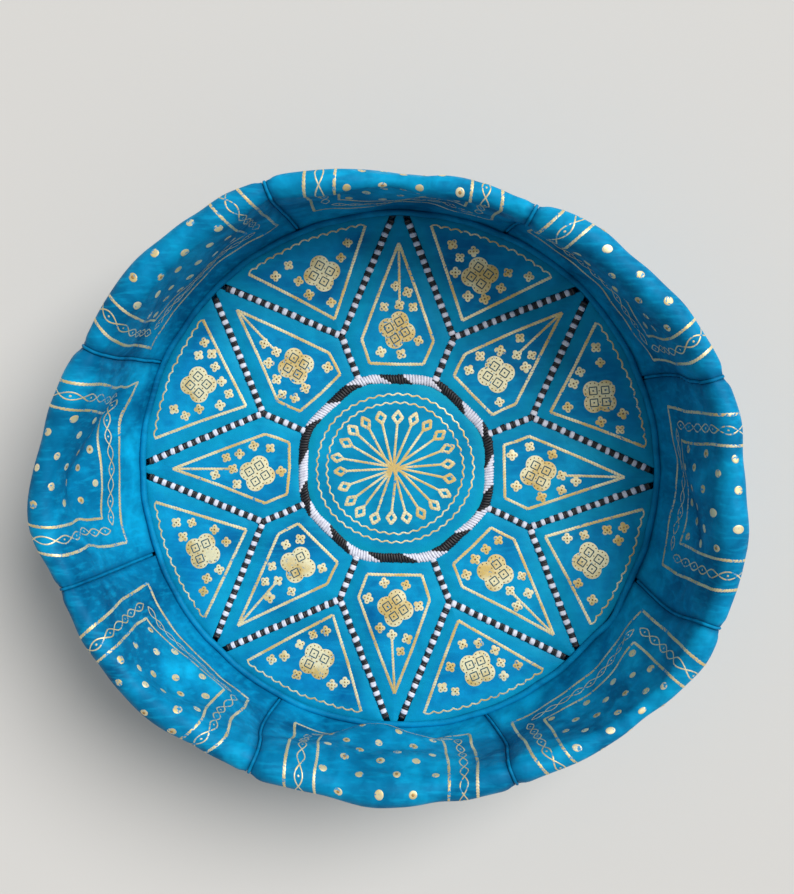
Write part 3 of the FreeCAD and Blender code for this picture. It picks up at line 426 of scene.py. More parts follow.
# %% [markdown]
# ## Gilding
# The ornament is gold foil, pressed on with heated brass tools and worn at every crease. It is paler
# than plain gold, and blue shows through where the foil is gone. It could be painted as a texture, but
# that blurs when it is seen from near, so the strokes are thin meshes and this finish only wears them:
# two noises decide where foil is left, a third its colour.

# %% Worn foil
ROPE_PITCH = 2.5
PLAIN_MARK = ROPE_PITCH / 4


def worn_foil(name, pale, gold, twist, wear, metal=0.45):
    """Gold foil on leather, rubbed through in small patches; the mark paints shade between a rope's
    strands.
    """
    material, tree, surface, place = start_material(name)
    tone = ramp(tree, noise(tree, place, 48, detail=6), (0.40, gold), (0.58, pale))
    strands = reckon(tree, "SINE", reckon(tree, "MULTIPLY", mesh_mark(tree), FULL_TURN / ROPE_PITCH))
    # Painted shade: the foil turns to the twist colour in bands between the rope's strands.
    tone = blend(tree, span(tree, strands, 0.5, 0.0, -0.9, 0.1), tone, twist)
    rubbed = noise(tree, place, 420, detail=5, distortion=0.5)
    broad = reckon(tree, "MULTIPLY", noise(tree, place, 24, detail=2), 0.3)
    worn = reckon(tree, "MULTIPLY_ADD", rubbed, 0.7, broad)
    left = span(tree, worn, 0, 1, wear - 0.02, wear + 0.03)
    tree.links.new(blend(tree, left, STAR_BLUE, tone), surface.inputs["Base Color"])
    tree.links.new(span(tree, left, 0.0, metal, 0, 1), surface.inputs["Metallic"])
    tree.links.new(span(tree, rubbed, 0.44, 0.60), surface.inputs["Roughness"])
    tree.links.new(bump(tree, rubbed, 0.3, 0.0003), surface.inputs["Normal"])
    return material


print("one turn of a rope line:", ROPE_PITCH, "mm")

# %% [markdown]
# ## Bright, worn and pressed gilding
# The star's foil is bright. The wall's is more worn, because the folds rub it, and its colours are
# darker and duller: painted shade. The pressed lines of a rosette show dark leather, and the pips of
# the flowers are foil that the tool's heat browned or tanned. One material could hold them all, but
# separate ones are easier to change. They are kept in a fixed order, so that a stroke names its finish
# by number.

# %% Gildings
FOIL_PALE = (0.99, 0.90, 0.57, 1)
FOIL_GOLD = (0.78, 0.56, 0.19, 1)
# Painted shade between the strands of a rope line.
FOIL_STRAND_SHADE = (0.64, 0.45, 0.19, 1)
# Painted shade: the wall foil's colours are darker copies of the star's foil.
SHADED_WALL_PALE = (0.84, 0.75, 0.48, 1)
SHADED_WALL_GOLD = (0.70, 0.55, 0.24, 1)
FOIL_TAN = (0.46, 0.27, 0.09, 1)
FOIL_BROWN = (0.20, 0.11, 0.04, 1)
STAR_WEAR = 0.38
WALL_WEAR = 0.42
PIP_WEAR = 0.20
INK_DEEP = (0.030, 0.095, 0.130, 1)
INK_BLUE = (0.070, 0.170, 0.210, 1)
foil = worn_foil("gold_foil", FOIL_PALE, FOIL_GOLD, FOIL_STRAND_SHADE, STAR_WEAR)
shaded_foil_of_walls = worn_foil("worn_shaded_foil_of_walls", SHADED_WALL_PALE, SHADED_WALL_GOLD, FOIL_STRAND_SHADE, WALL_WEAR)
foil_ink = dyed_leather("pressed_lines", INK_DEEP, INK_DEEP, INK_BLUE, INK_DEEP)
foil_pips = worn_foil("foil_pips", FOIL_BROWN, FOIL_BROWN, FOIL_BROWN, PIP_WEAR)
foil_eyes = worn_foil("foil_eyes", FOIL_TAN, FOIL_TAN, FOIL_TAN, PIP_WEAR)
GILDING = (foil, foil_ink, foil_pips, foil_eyes)
WALL_GILDING = (shaded_foil_of_walls, foil_ink, foil_pips, foil_eyes)
GOLD, INK, BROWN, TAN = 0, 1, 2, 3
print("gilding finishes:", [material.name for material in GILDING])

# %% [markdown]
# ## Strokes of foil
# Each gold line is a ribbon a quarter of a millimetre proud of the leather, closed underneath, with the
# ragged, rope-like edges of a hand tool. A curve with a bevel would give a round wire, so the ribbon is
# a grid of its own. A stroke is drawn flat, and a lay function puts every point of it on the piece of
# leather that carries it.

# %% Foil strokes
FOIL_STEP = 0.8
FOIL_CREST = 0.24
FOIL_EDGE = 0.06
FOIL_SINK = -0.35
ROPE_DEPTH = 0.16


def evenly(path, step, closed=False):
    """A line of flat points, cut again at even distances."""
    path = np.asarray(path, float)
    if closed:
        path = np.concatenate([path, path[:1]])
    lengths = np.hypot(*np.diff(path, axis=0).T)
    travelled = np.concatenate([[0], np.cumsum(lengths)])
    count = max(int(round(travelled[-1] / step)), 4)
    wanted = np.linspace(0, travelled[-1], count + 1)
    points = np.stack([np.interp(wanted, travelled, path[:, axis]) for axis in (0, 1)], axis=1)
    return points[:-1] if closed else points


def waver(distance, reach, strength):
    """A slow hand-made wander along a line, from three waves with drawn phases."""
    phases = rng.uniform(0, FULL_TURN, 3)
    waves = [np.sin(FULL_TURN * distance / (reach * step) + phase)
             for step, phase in zip((1.0, 0.61, 0.37), phases)]
    return strength * (waves[0] + 0.6 * waves[1] + 0.4 * waves[2])


def foil_line(pile, lay, path, width, closed=False, rope=ROPE_DEPTH, finish=GOLD, edge=FOIL_EDGE):
    """One stroke: a closed ribbon along a flat path, its middle a little higher than its edges."""
    path = evenly(path, FOIL_STEP, closed)
    if closed:
        along = np.roll(path, -1, axis=0) - np.roll(path, 1, axis=0)
    else:
        along = np.gradient(path, axis=0)
    along /= np.maximum(np.linalg.norm(along, axis=1, keepdims=True), 1e-9)
    across = np.stack([-along[:, 1], along[:, 0]], axis=1)
    distance = np.arange(len(path)) * FOIL_STEP
    half = width / 2 * (1 + waver(distance, 14, 0.06))
    twist = rope * np.sin(FULL_TURN * distance / ROPE_PITCH)
    left = path + across * (half * (1 + twist))[:, None]
    right = path - across * (half * (1 - twist))[:, None]
    crest = edge + FOIL_CREST - FOIL_EDGE
    lines = lay(left, edge), lay(path, crest), lay(right, edge), lay(path, FOIL_SINK)
    points = np.stack(lines, axis=1)
    rows, columns = points.shape[:2]
    caps = () if closed else (np.arange(columns), (rows - 1) * columns + np.arange(columns)[::-1])
    mark = distance[:, None] + np.array([0.6, 0, -0.6, 0]) if rope else PLAIN_MARK
    pile.add(points, grid_faces(rows, columns, wrap_rows=closed, wrap_columns=True), caps, finish, mark)


print("foil strokes stand", FOIL_CREST, "mm proud")

# %% [markdown]
# ## Plates of foil
# Dots and stamped shapes are patches of foil. A patch is rings of points that shrink from an outline to
# its middle, so that it bends with the leather under it; one flat face would cut into a fold. Small
# dots lie on top of a larger patch, a tenth of a millimetre above it.

# %% Foil plates
ON_FOIL = FOIL_CREST + 0.1


def foil_plate(pile, lay, centre, outline, finish=GOLD, edge=FOIL_EDGE, rings=2):
    """A flat patch of foil inside an outline round its centre, closed underneath."""
    count = len(outline)
    lift = edge + FOIL_CREST - FOIL_EDGE
    shares = np.linspace(1, 0, rings + 1)[:-1]
    rows = [lay(centre + outline * share, edge if share == 1 else lift) for share in shares]
    top = lay(centre[None], lift)
    bottom = lay(centre[None], FOIL_SINK)
    points = np.concatenate([*rows, top, bottom])
    last, peak, pit = (rings - 1) * count, rings * count, rings * count + 1
    around = np.arange(count)
    after = np.roll(around, -1)
    lid = [np.array([a + last, b + last, peak]) for a, b in zip(around, after)]
    base = [np.array([b, a, pit]) for a, b in zip(around, after)]
    pile.add(points, grid_faces(rings, count, wrap_columns=True), lid + base, finish, PLAIN_MARK)


def circle_outline(radius, count):
    """Points round a circle."""
    angles = np.linspace(0, FULL_TURN, count, endpoint=False)
    return radius * np.stack([np.cos(angles), np.sin(angles)], axis=1)


def foil_dot(pile, lay, centre, radius, finish=BROWN, edge=ON_FOIL, count=8):
    """A small round patch, brown and on top of other foil unless told otherwise."""
    foil_plate(pile, lay, np.asarray(centre, float), circle_outline(radius, count), finish, edge, rings=1)


print("dots on foil start", round(ON_FOIL, 2), "mm above the leather")

# %% [markdown]
# ## Small flowers
# The small stamp is a flower of four round petals with dark pips. Its outline could be four circles
# laid over each other, but then their faces would cross; here one outline goes round all four, from the
# formula for the far side of a circle seen from the flower's middle. Some pips fail, as they do when a
# stamp is pressed by hand.

# %% Small flowers
PIP_CHANCE = 0.8
TAN_CHANCE = 0.4


def four_lobes(reach, radius, turn, count):
    """The outline of four round lobes that overlap in the middle."""
    angles = np.linspace(0, FULL_TURN, count, endpoint=False)
    off_lobe = (angles - turn + math.pi / 4) % (math.pi / 2) - math.pi / 4
    out = reach * np.cos(off_lobe) + np.sqrt(radius ** 2 - (reach * np.sin(off_lobe)) ** 2)
    return out[:, None] * np.stack([np.cos(angles), np.sin(angles)], axis=1)


def lobe_places(centre, reach, turn):
    """The middles of four lobes."""
    headings = turn + np.arange(4) * math.pi / 2
    return centre + reach * np.stack([np.cos(headings), np.sin(headings)], axis=1)


def flower(pile, lay, centre, radius, turn):
    """A small stamped flower: four petals, with a dark pip in each and one in the middle."""
    foil_plate(pile, lay, centre, four_lobes(0.56 * radius, 0.44 * radius, turn, 40))
    foil_dot(pile, lay, centre, 0.17 * radius, finish=TAN if rng.random() < TAN_CHANCE else BROWN)
    for pip in lobe_places(centre, 0.55 * radius, turn):
        if rng.random() < PIP_CHANCE:
            foil_dot(pile, lay, pip, 0.12 * radius, count=6)


print("a flower keeps", round(100 * PIP_CHANCE), "of 100 petal pips")

# %% [markdown]
# ## Rosettes
# The large stamp is a flower of four lobes, each with a pressed square and an eye, ringed with pips.
# The pressed lines could be cut into the foil, but at this size they read as dark lines, so they are
# thin dark strokes on it. Here and there a lobe is smudged and has none.

# %% Rosettes
ROSETTE_LOBE_REACH = 7.4
ROSETTE_LOBE_RADIUS = 7.6
ROSETTE_SQUARE = 6.0
ROSETTE_EYE = 1.2
ROSETTE_STROKE = 0.85
ROSETTE_PIP = 0.55
ROSETTE_HEART = 0.7
PIP_RING = 0.87
SQUARE_REACH = 0.92
NOTCH_REACH = 4.6
SMUDGE_CHANCE = 0.1


def turned(points, angle):
    """Flat points, turned about the middle."""
    x, y = points[..., 0], points[..., 1]
    cosine, sine = math.cos(angle), math.sin(angle)
    return np.stack([x * cosine - y * sine, x * sine + y * cosine], axis=-1)


def rosette(pile, lay, centre, turn):
    """A large stamped flower: four round lobes, each with a pressed square, ringed with pips."""
    outline = four_lobes(ROSETTE_LOBE_REACH, ROSETTE_LOBE_RADIUS, turn, 96)
    foil_plate(pile, lay, centre, outline, rings=4)
    for point in PIP_RING * outline[::4]:
        foil_dot(pile, lay, centre + point, ROSETTE_PIP, count=6)
    square = np.array([(-1, -1), (1, -1), (1, 1), (-1, 1)]) / 2
    square = turned(square, turn + math.pi / 4)
    for lobe in lobe_places(centre, SQUARE_REACH * ROSETTE_LOBE_REACH, turn):
        if rng.random() < SMUDGE_CHANCE:
            continue
        foil_line(pile, lay, lobe + ROSETTE_SQUARE * square, ROSETTE_STROKE, closed=True, rope=0,
                  finish=INK, edge=ON_FOIL)
        foil_plate(pile, lay, lobe, ROSETTE_EYE * square, finish=INK, edge=ON_FOIL, rings=1)
    for spot in lobe_places(centre, NOTCH_REACH, turn + math.pi / 4):
        foil_dot(pile, lay, spot, ROSETTE_PIP, count=6)
    foil_dot(pile, lay, centre, ROSETTE_HEART, count=6)


print("a rosette is", 2 * (ROSETTE_LOBE_REACH + ROSETTE_LOBE_RADIUS), "mm across")

# %% [markdown]
# ## The star's layout
# Eight kite-shaped petals and eight border fans meet along laced seams. Their corners come from the
# same few sizes as the construction: the disc, the junctions where a spoke meets two petals, the ring
# round the medallion and the narrow gap between the lacings at a tip. The leather runs a little under
# its lacing, as it does on the real seam.

# %% Star layout
POINTS = 8
STEP = FULL_TURN / POINTS
HALF_STEP = STEP / 2
DISC_RADIUS = 206.0
DISC_LEVEL = 28.0
JUNCTION_RADIUS = 118.0
RING_RADIUS = 77.0
RING_TUCK = 1.8
TIP_HALF = 5.4
LEATHER_TUCK = 2.2

junction = JUNCTION_RADIUS * np.array([math.cos(HALF_STEP), math.sin(HALF_STEP)])
tip = np.array([math.sqrt(DISC_RADIUS ** 2 - TIP_HALF ** 2), TIP_HALF])
seam_along = (tip - junction) / np.linalg.norm(tip - junction)
seam_inward = np.array([seam_along[1], -seam_along[0]])
spoke_inward = np.array([math.sin(HALF_STEP), -math.cos(HALF_STEP)])
print("junction at", junction.round(1), "tip at", tip.round(1))

# %% [markdown]
# ## Slack hide
# Leather that lies on nothing is never flat. A few long waves in drawn directions lift and lower the
# whole disc a little, the sewn edges pull each piece down, and near an edge the dye is greener.
# Sculpting each piece would do as well, but one height for all keeps neighbours in step.

# %% Slack hide
LEATHER_BODY = 2.4
EDGE_DIP = 1.9
EDGE_REACH = 5.0
SWELL_SIZE = 0.16
EDGE_GREEN = 0.45
swell_waves = [(rng.uniform(0, FULL_TURN), rng.uniform(0, FULL_TURN), FULL_TURN / rng.uniform(45, 120))
               for _ in range(7)]


def soft_swell(x, y):
    """The unevenness of hide that lies slack: a few long waves over the whole disc."""
    total = 0.0
    for heading, phase, rate in swell_waves:
        total = total + np.sin(rate * (x * math.cos(heading) + y * math.sin(heading)) + phase)
    return SWELL_SIZE * total


def leather_height(inset, x, y):
    """The height of a top piece: lower along its sewn edge, slightly uneven inside."""
    inside = 1 - np.exp(-np.maximum(inset, 0) / EDGE_REACH)
    return DISC_LEVEL + LEATHER_BODY - EDGE_DIP * (1 - inside) + soft_swell(x, y) * inside


def edge_mark(inset, reach=11.0):
    """How much of the greener edge colour shows."""
    return EDGE_GREEN * np.exp(-(np.maximum(inset, 0) / reach) ** 3)


print("waves in the hide:", len(swell_waves))

# %% [markdown]
# ## The star as it was sewn
# The real star's middle lies a little off the disc's, and its centre is not quite round. Every piece
# could be drawn crooked, but it is simpler to draw a true star and to shift all its points alike at the
# end; the shift fades out towards the piping, which stays where it is.

# %% As sewn
STAR_SHIFT = np.array([-0.8, 4.2])
STAR_SQUASH = 0.07
SQUASH_REACH = 100.0


def as_sewn(pile):
    """The star as it was sewn: its middle a little off the disc's own, and not quite round."""
    for points in pile.points:
        reach = np.hypot(points[:, 0], points[:, 1])
        near = np.clip(1 - (reach / DISC_RADIUS) ** 2, 0, 1)
        squash = STAR_SQUASH * points[:, 1] * near * np.exp(-(reach / SQUASH_REACH) ** 2)
        points[:, 0] += STAR_SHIFT[0] * near
        points[:, 1] += STAR_SHIFT[1] * near - squash
    return pile


print("the star's middle is off by", STAR_SHIFT, "mm")

# %% [markdown]
# ## A skin with thickness
# A piece of leather has two faces and a cut edge. Blender's Solidify could thicken a single sheet, but
# here the underside is often a different shape from the top, so the skin is made of two grids and a
# strip that joins them.

# %% Skin
def closed_sheet(pile, outside, inside, mark=0.0):
    """A skin with thickness: two grids of the same size, joined along their four edges."""
    rows, columns = outside.shape[:2]
    count = rows * columns
    front = grid_faces(rows, columns)
    number = np.arange(count).reshape(rows, columns)
    border = np.concatenate([number[0, :-1], number[:-1, -1], number[-1, :0:-1], number[:0:-1, 0]])
    after = np.roll(border, -1)
    edge = np.stack([border, after, after + count, border + count], axis=1)
    points = np.concatenate([outside.reshape(-1, 3), inside.reshape(-1, 3)])
    mark = np.tile(np.ravel(np.broadcast_to(mark, (rows, columns))), 2)
    pile.add(points, np.concatenate([front, front[:, ::-1] + count, edge]), mark=mark)


print("an outside, an inside and an edge make a skin")

# %% [markdown]
# ## Petals
# A petal is a kite of leather, its blunt end on the ring and its narrow tip at the piping. A flat
# outline pushed up would have hard edges, so the petal is a grid from side to side: every row spans the
# kite at one place along its axis, and the rows bend to the ring's curve at the blunt end.

# %% Petals
PETAL_COLUMNS = 33
PETAL_RING = RING_RADIUS + RING_TUCK


def petal_inset(points):
    """The distance from a petal's edges, for flat points with the petal along X."""
    x, y = points[..., 0], np.abs(points[..., 1])
    spoke = x * spoke_inward[0] + y * spoke_inward[1]
    seam = (x - junction[0]) * seam_inward[0] + (y - junction[1]) * seam_inward[1]
    ring = np.hypot(x, y) - PETAL_RING
    return np.minimum(np.minimum(spoke, seam) - LEATHER_TUCK, np.minimum(ring, DISC_RADIUS + 2 - x))


def petal_half_width(x):
    """Half the kite's width at a place along its axis."""
    spoke = (x * spoke_inward[0] - LEATHER_TUCK) / -spoke_inward[1]
    seam = junction[1] + ((x - junction[0]) * seam_inward[0] - LEATHER_TUCK) / -seam_inward[1]
    return np.minimum(spoke, seam)


def petal_lay(turn):
    """A function that lays flat points, drawn on a petal along X, on the petal at a turn."""
    def lay(points, lift):
        spot = turned(points, turn)
        height = leather_height(petal_inset(points), spot[..., 0], spot[..., 1])
        return np.concatenate([spot, (height + lift)[..., None]], axis=-1)
    return lay


stations = np.linspace(PETAL_RING, DISC_RADIUS + 1.0, 400)
shoulder = stations[np.argmax(petal_half_width(stations))]
petal_rows = np.concatenate([np.linspace(PETAL_RING, shoulder, 18),
                             np.linspace(shoulder, stations[-1], 52)[1:]])
petal_share = np.sin(np.linspace(-math.pi / 2, math.pi / 2, PETAL_COLUMNS))
for number in range(POINTS):
    y = petal_half_width(petal_rows)[:, None] * petal_share[None]
    near_ring = np.clip((shoulder - petal_rows) / (shoulder - PETAL_RING), 0, 1)[:, None]
    x = petal_rows[:, None] + (np.sqrt(PETAL_RING ** 2 - y ** 2) - PETAL_RING) * near_ring ** 2
    flat = np.stack([x, y], axis=-1)
    top = petal_lay(number * STEP)(flat, 0.0)
    bottom = top.copy()
    bottom[..., 2] = DISC_LEVEL
    pile = Pile()
    closed_sheet(pile, top, bottom, edge_mark(petal_inset(flat)))
    add_piece(f"petal_leather_{number + 1}", as_sewn(pile), [star_leather],
              [f"star_petal_{number + 1}"])
shoulder_half = round(float(petal_half_width(shoulder)), 1)
print("petal shoulder at", round(shoulder, 1), "mm, half width", shoulder_half)

# %% [markdown]
# ## Border fans
# The fans fill the border between two petals. Rows from side to side, as on a petal, would not fit an
# edge that is an arc, so a fan is drawn as rays from its inner point to the piping. That gives even
# faces in a shape that is a point at one end and an arc at the other.

# %% Border fans
FAN_COLUMNS = 41
FAN_ROWS = 44
FAN_EDGE = DISC_RADIUS + 2.4
fan_corner = turned(tip * (1, -1), HALF_STEP)
fan_origin = np.array([JUNCTION_RADIUS, 0.0])
fan_along = (fan_corner - fan_origin) / np.linalg.norm(fan_corner - fan_origin)
fan_inward = np.array([fan_along[1], -fan_along[0]])
fan_spread = math.atan2(fan_corner[1], fan_corner[0]) - LEATHER_TUCK / DISC_RADIUS
fan_point = np.array([JUNCTION_RADIUS + LEATHER_TUCK / fan_inward[0], 0.0])


def fan_inset(points):
    """The distance from a fan's edges, for flat points with the fan along X."""
    x, y = points[..., 0], np.abs(points[..., 1])
    seam = (x - fan_origin[0]) * fan_inward[0] + y * fan_inward[1] - LEATHER_TUCK
    return np.minimum(seam, FAN_EDGE - np.hypot(x, y))


def fan_lay(turn):
    """A function that lays flat points, drawn on a fan along X, on the fan at a turn."""
    def lay(points, lift):
        spot = turned(points, turn)
        height = leather_height(fan_inset(points), spot[..., 0], spot[..., 1])
        return np.concatenate([spot, (height + lift)[..., None]], axis=-1)
    return lay


fan_angles = fan_spread * np.sin(np.linspace(-math.pi / 2, math.pi / 2, FAN_COLUMNS))
fan_arc = FAN_EDGE * np.stack([np.cos(fan_angles), np.sin(fan_angles)], axis=1)
fan_share = np.linspace(0.02, 1, FAN_ROWS)
for number in range(POINTS):
    flat = fan_point + (fan_arc[None] - fan_point) * fan_share[:, None, None]
    top = fan_lay(HALF_STEP + number * STEP)(flat, 0.0)
    bottom = top.copy()
    bottom[..., 2] = DISC_LEVEL
    pile = Pile()
    closed_sheet(pile, top, bottom, edge_mark(fan_inset(flat)))
    add_piece(f"fan_leather_{number + 1}", as_sewn(pile), [star_leather],
              [f"border_fan_{number + 1}"])
print("fan point at", fan_point.round(1), "spread", round(math.degrees(fan_spread), 1))

# %% [markdown]
# ## Medallion
# The round centre piece is a disc with a low crown. A plain cylinder would be too flat and too even, so
# its section is turned about the middle, as on a lathe, and the same long waves as on the petals keep
# it from looking machined.

# %% Medallion
MEDALLION_RADIUS = RING_RADIUS - RING_TUCK
MEDALLION_CROWN = 0.8
MEDALLION_GREEN = 0.35
MEDALLION_SPOKES = 120


def medallion_lay(points, lift):
    """Lays flat points on the medallion."""
    reach = np.hypot(points[..., 0], points[..., 1])
    crown = MEDALLION_CROWN * (1 - (reach / MEDALLION_RADIUS) ** 2)
    height = leather_height(MEDALLION_RADIUS - reach, points[..., 0], points[..., 1]) + crown
    return np.concatenate([points, (height + lift)[..., None]], axis=-1)


angles = np.linspace(0, FULL_TURN, MEDALLION_SPOKES, endpoint=False)
reaches = MEDALLION_RADIUS * np.sin(np.linspace(0.02, math.pi / 2, 34))
flat = reaches[:, None, None] * np.stack([np.cos(angles), np.sin(angles)], axis=1)[None]
top = medallion_lay(flat, 0.0)
bottom = np.concatenate([flat[[-1, 0]], np.full((2, MEDALLION_SPOKES, 1), DISC_LEVEL)], axis=-1)
rows = np.concatenate([top, bottom])
mark = MEDALLION_GREEN + edge_mark(MEDALLION_RADIUS - np.hypot(rows[..., 0], rows[..., 1]), reach=7.0)
pile = Pile()
around = np.arange(MEDALLION_SPOKES)
centre_caps = (around, (len(rows) - 1) * MEDALLION_SPOKES + around)
pile.add(rows, grid_faces(len(rows), MEDALLION_SPOKES, wrap_columns=True), centre_caps, mark=mark)
add_piece("medallion_leather", as_sewn(pile), [star_leather], ["medallion"])
print("medallion radius", MEDALLION_RADIUS)

# %% [markdown]
# ## A tube along a line
# Cords, stitches and strips all have a section that follows a line. A Blender curve with a bevel makes
# such tubes, but it can only scale its section on the way, and a stitch changes its width and its
# height apart. So the section is given at every point of the line, across and high, and the tube is a
# grid that closes on itself.

# %% Tube
UPRIGHT = np.array([0, 0, 1.0])


def sweep(pile, centres, sides, ups, across, high, ring=False, finish=0):
    """A tube: a section, across and high at each centre, that follows a line of centres."""
    across = np.broadcast_to(across, (len(centres), np.shape(across)[-1]))
    high = np.broadcast_to(high, across.shape)
    points = (centres[:, None] + sides[:, None] * across[..., None] + ups[:, None] * high[..., None])
    rows, columns = across.shape
    faces = grid_faces(rows, columns, wrap_rows=ring, wrap_columns=True)
    caps = () if ring else (np.arange(columns), (rows - 1) * columns + np.arange(columns)[::-1])
    pile.add(points, faces, caps, finish)


def upright_like(vectors):
    """One upward unit vector for each of the vectors."""
    return np.broadcast_to(UPRIGHT, vectors.shape)


print("a tube follows its line with the section upright:", UPRIGHT)

# %% [markdown]
# ## Thong
# The lacing is narrow strips of black and of white leather, a little grimy in the folds. The white is
# not quite white and the black not quite black; a picture of leather is not needed at this size, so one
# noise stains both.

# %% Thong
BLACK, WHITE = 0, 1


def laced_leather(name, dark, light):
    """Thin thong leather: plain colour with grime in the folds and a fine grain."""
    material, tree, surface, place = start_material(name)
    stain = noise(tree, place, 300, detail=5)
    tree.links.new(ramp(tree, stain, (0.3, dark), (0.6, light)), surface.inputs["Base Color"])
    tree.links.new(span(tree, stain, 0.42, 0.6), surface.inputs["Roughness"])
    tree.links.new(bump(tree, noise(tree, place, 1800, detail=3), 0.3, 0.0002), surface.inputs["Normal"])
    return material


black_thong = laced_leather("black_thong", (0.006, 0.006, 0.008, 1), (0.020, 0.018, 0.022, 1))
white_thong = laced_leather("white_thong", (0.60, 0.59, 0.68, 1), (0.80, 0.79, 0.86, 1))
LACING = (black_thong, white_thong)
print("thong finishes:", [material.name for material in LACING])

# %% [markdown]
# ## One bead of lacing
# A thong is whipped round the seam, two turns black, two turns white. Two turns side by side read as
# one bead: the white ones round and proud, the black ones flatter and a little wider, with a groove
# between the turns. One striped bar would read as printed, so every bead is modelled, a little crooked.

# %% Bead
BEAD_STATIONS = np.linspace(-1, 1, 11)
BEAD_UNEVEN = 0.05
BEAD_LEAN = 0.08
BEAD_HALF_LENGTH = {BLACK: 2.15, WHITE: 2.15}
BEAD_HALF_WIDTH = {BLACK: 2.85, WHITE: 2.8}
BEAD_HEIGHT = {BLACK: 2.3, WHITE: 2.9}
BEAD_SQUARENESS = {BLACK: 6.0, WHITE: 3.0}
BEAD_GROOVE = {BLACK: 0.2, WHITE: 0.1}


def dome_section(count=8):
    """A half round section with a flat foot, one unit wide to each side and one high."""
    angles = np.linspace(0, math.pi, count)
    across = np.concatenate([np.sign(np.cos(angles)) * np.abs(np.cos(angles)) ** 0.7, [-0.8, 0.8]])
    high = np.concatenate([0.1 + 0.9 * np.sin(angles) ** 0.75, [0.04, 0.04]])
    return across, high


def lacing_bead(pile, centre, along, across, colour):
    """Two turns of thong over the seam, drawn tight into one bead."""
    size = rng.normal(1, BEAD_UNEVEN, 3)
    lean = rng.normal(0, BEAD_LEAN)
    along, across = along + lean * across, across - lean * along
    plan = 0.35 + 0.65 * (1 - np.abs(BEAD_STATIONS) ** BEAD_SQUARENESS[colour]) ** 0.5
    groove = 1 - BEAD_GROOVE[colour] * np.exp(-(BEAD_STATIONS / 0.2) ** 2)
    section_across, section_high = dome_section()
    wide = BEAD_HALF_WIDTH[colour] * size[0] * plan * (0.5 + 0.5 * groove)
    high = BEAD_HEIGHT[colour] * size[1] * plan * groove
    centres = centre + along * (BEAD_STATIONS * BEAD_HALF_LENGTH[colour] * size[2])[:, None]
    sides = np.repeat(across[None], len(BEAD_STATIONS), axis=0)
    sweep(pile, centres, sides, upright_like(centres), section_across * wide[:, None],
          section_high * high[:, None], finish=colour)


print("a white bead is", 2 * BEAD_HALF_WIDTH[WHITE], "mm wide and", BEAD_HEIGHT[WHITE], "mm high")

# %% [markdown]
# ## Laced seams
# Along each seam the beads follow each other, black and white in turn, over a dark core that closes the
# gaps between them. Sixteen strips run along the petals' edges and eight short spokes go in to the
# ring. An array would repeat one bead exactly, so every bead is set down on its own, a little off its
# place.

# %% Laced seams
BEAD_PITCH = 3.9
BEAD_SLIP_ALONG = 0.03
BEAD_SLIP_ACROSS = 0.16
CORE_HALF_WIDTH = 1.9
CORE_HEIGHT = 1.5
CORE_ACROSS = np.array([-1, -1, -0.6, 0.6, 1, 1])
CORE_RISE = np.array([0, 0.7, 1, 1, 0.7, 0])
SEAM_START_GAP = 2.0
SEAM_END_GAP = 2.2
SPOKE_OUTER_GAP = 1.0
SPOKE_INNER_GAP = 3.5


def laced_seam(pile, start, end):
    """Beads from the outer end of a seam to its inner end, over a dark core."""
    run = end - start
    length = np.linalg.norm(run)
    along = np.append(run / length, 0)
    across = np.array([-along[1], along[0], 0])
    count = int(round(length / BEAD_PITCH))
    pitch = length / count
    for bead in range(count):
        place = bead + 0.5 + rng.normal(0, BEAD_SLIP_ALONG)
        middle = np.append(start, DISC_LEVEL) + along * pitch * place
        middle = middle + across * rng.normal(0, BEAD_SLIP_ACROSS)
        lacing_bead(pile, middle, along, across, WHITE if bead % 2 else BLACK)
    ends = np.stack([np.append(start, DISC_LEVEL), np.append(end, DISC_LEVEL)])
    sweep(pile, ends, np.stack([across, across]), upright_like(ends), CORE_HALF_WIDTH * CORE_ACROSS,
          CORE_HEIGHT * CORE_RISE, finish=BLACK)
    return count


seam_start = junction + seam_along * SEAM_START_GAP
seam_end = tip - seam_along * SEAM_END_GAP
beads = 0
for number in range(POINTS):
    for side, flip in (("left", 1), ("right", -1)):
        pile = Pile()
        outer = turned(seam_end * (1, flip), number * STEP)
        inner = turned(seam_start * (1, flip), number * STEP)
        beads += laced_seam(pile, outer, inner)
        add_piece(f"petal_lacing_{number + 1}_{side}", as_sewn(pile), LACING,
                  [f"petal_braid_{number + 1}_{side}"])
pile = Pile()
for number in range(POINTS):
    heading = HALF_STEP + number * STEP
    ray = np.array([math.cos(heading), math.sin(heading)])
    outer = ray * (JUNCTION_RADIUS + SPOKE_OUTER_GAP)
    beads += laced_seam(pile, outer, ray * (RING_RADIUS + SPOKE_INNER_GAP))
add_piece("spoke_lacing", as_sewn(pile), LACING, ["spoke_braids"])
print("beads of thong:", beads)

# %% [markdown]
# ## Lacing round the medallion
# Round the medallion a black and a white thong are whipped side by side and change places every few
# stitches, so that long slanting blocks of both colours go round. A striped ring would be quicker, but
# the stitches are large enough to be seen. So every stitch is one bead across the ring, or two where
# the colours meet in it; the place where they meet moves across from stitch to stitch.

# %% Ring stitch
RING_CHANGES = 10
RING_STITCHES = 212
RING_LACE_HALF = 4.2
RING_LACE_HEIGHT = 2.9
STITCH_SHARE = 0.56
STITCH_SLANT = 1.0
COLOUR_SLANT = -0.8
RING_CORNER = 1.6


def round_the_middle(angles):
    """Unit vectors outward and along a circle about Z, at angles in radians."""
    outward = np.stack([np.cos(angles), np.sin(angles), np.zeros_like(angles)], axis=-1)
    along = np.stack([-np.sin(angles), np.cos(angles), np.zeros_like(angles)], axis=-1)
    return outward, along


def ring_reach(angle):
    """The ring's radius: the spokes draw it out a little where they meet it."""
    return RING_RADIUS + RING_CORNER * np.cos(POINTS * (angle - HALF_STEP))


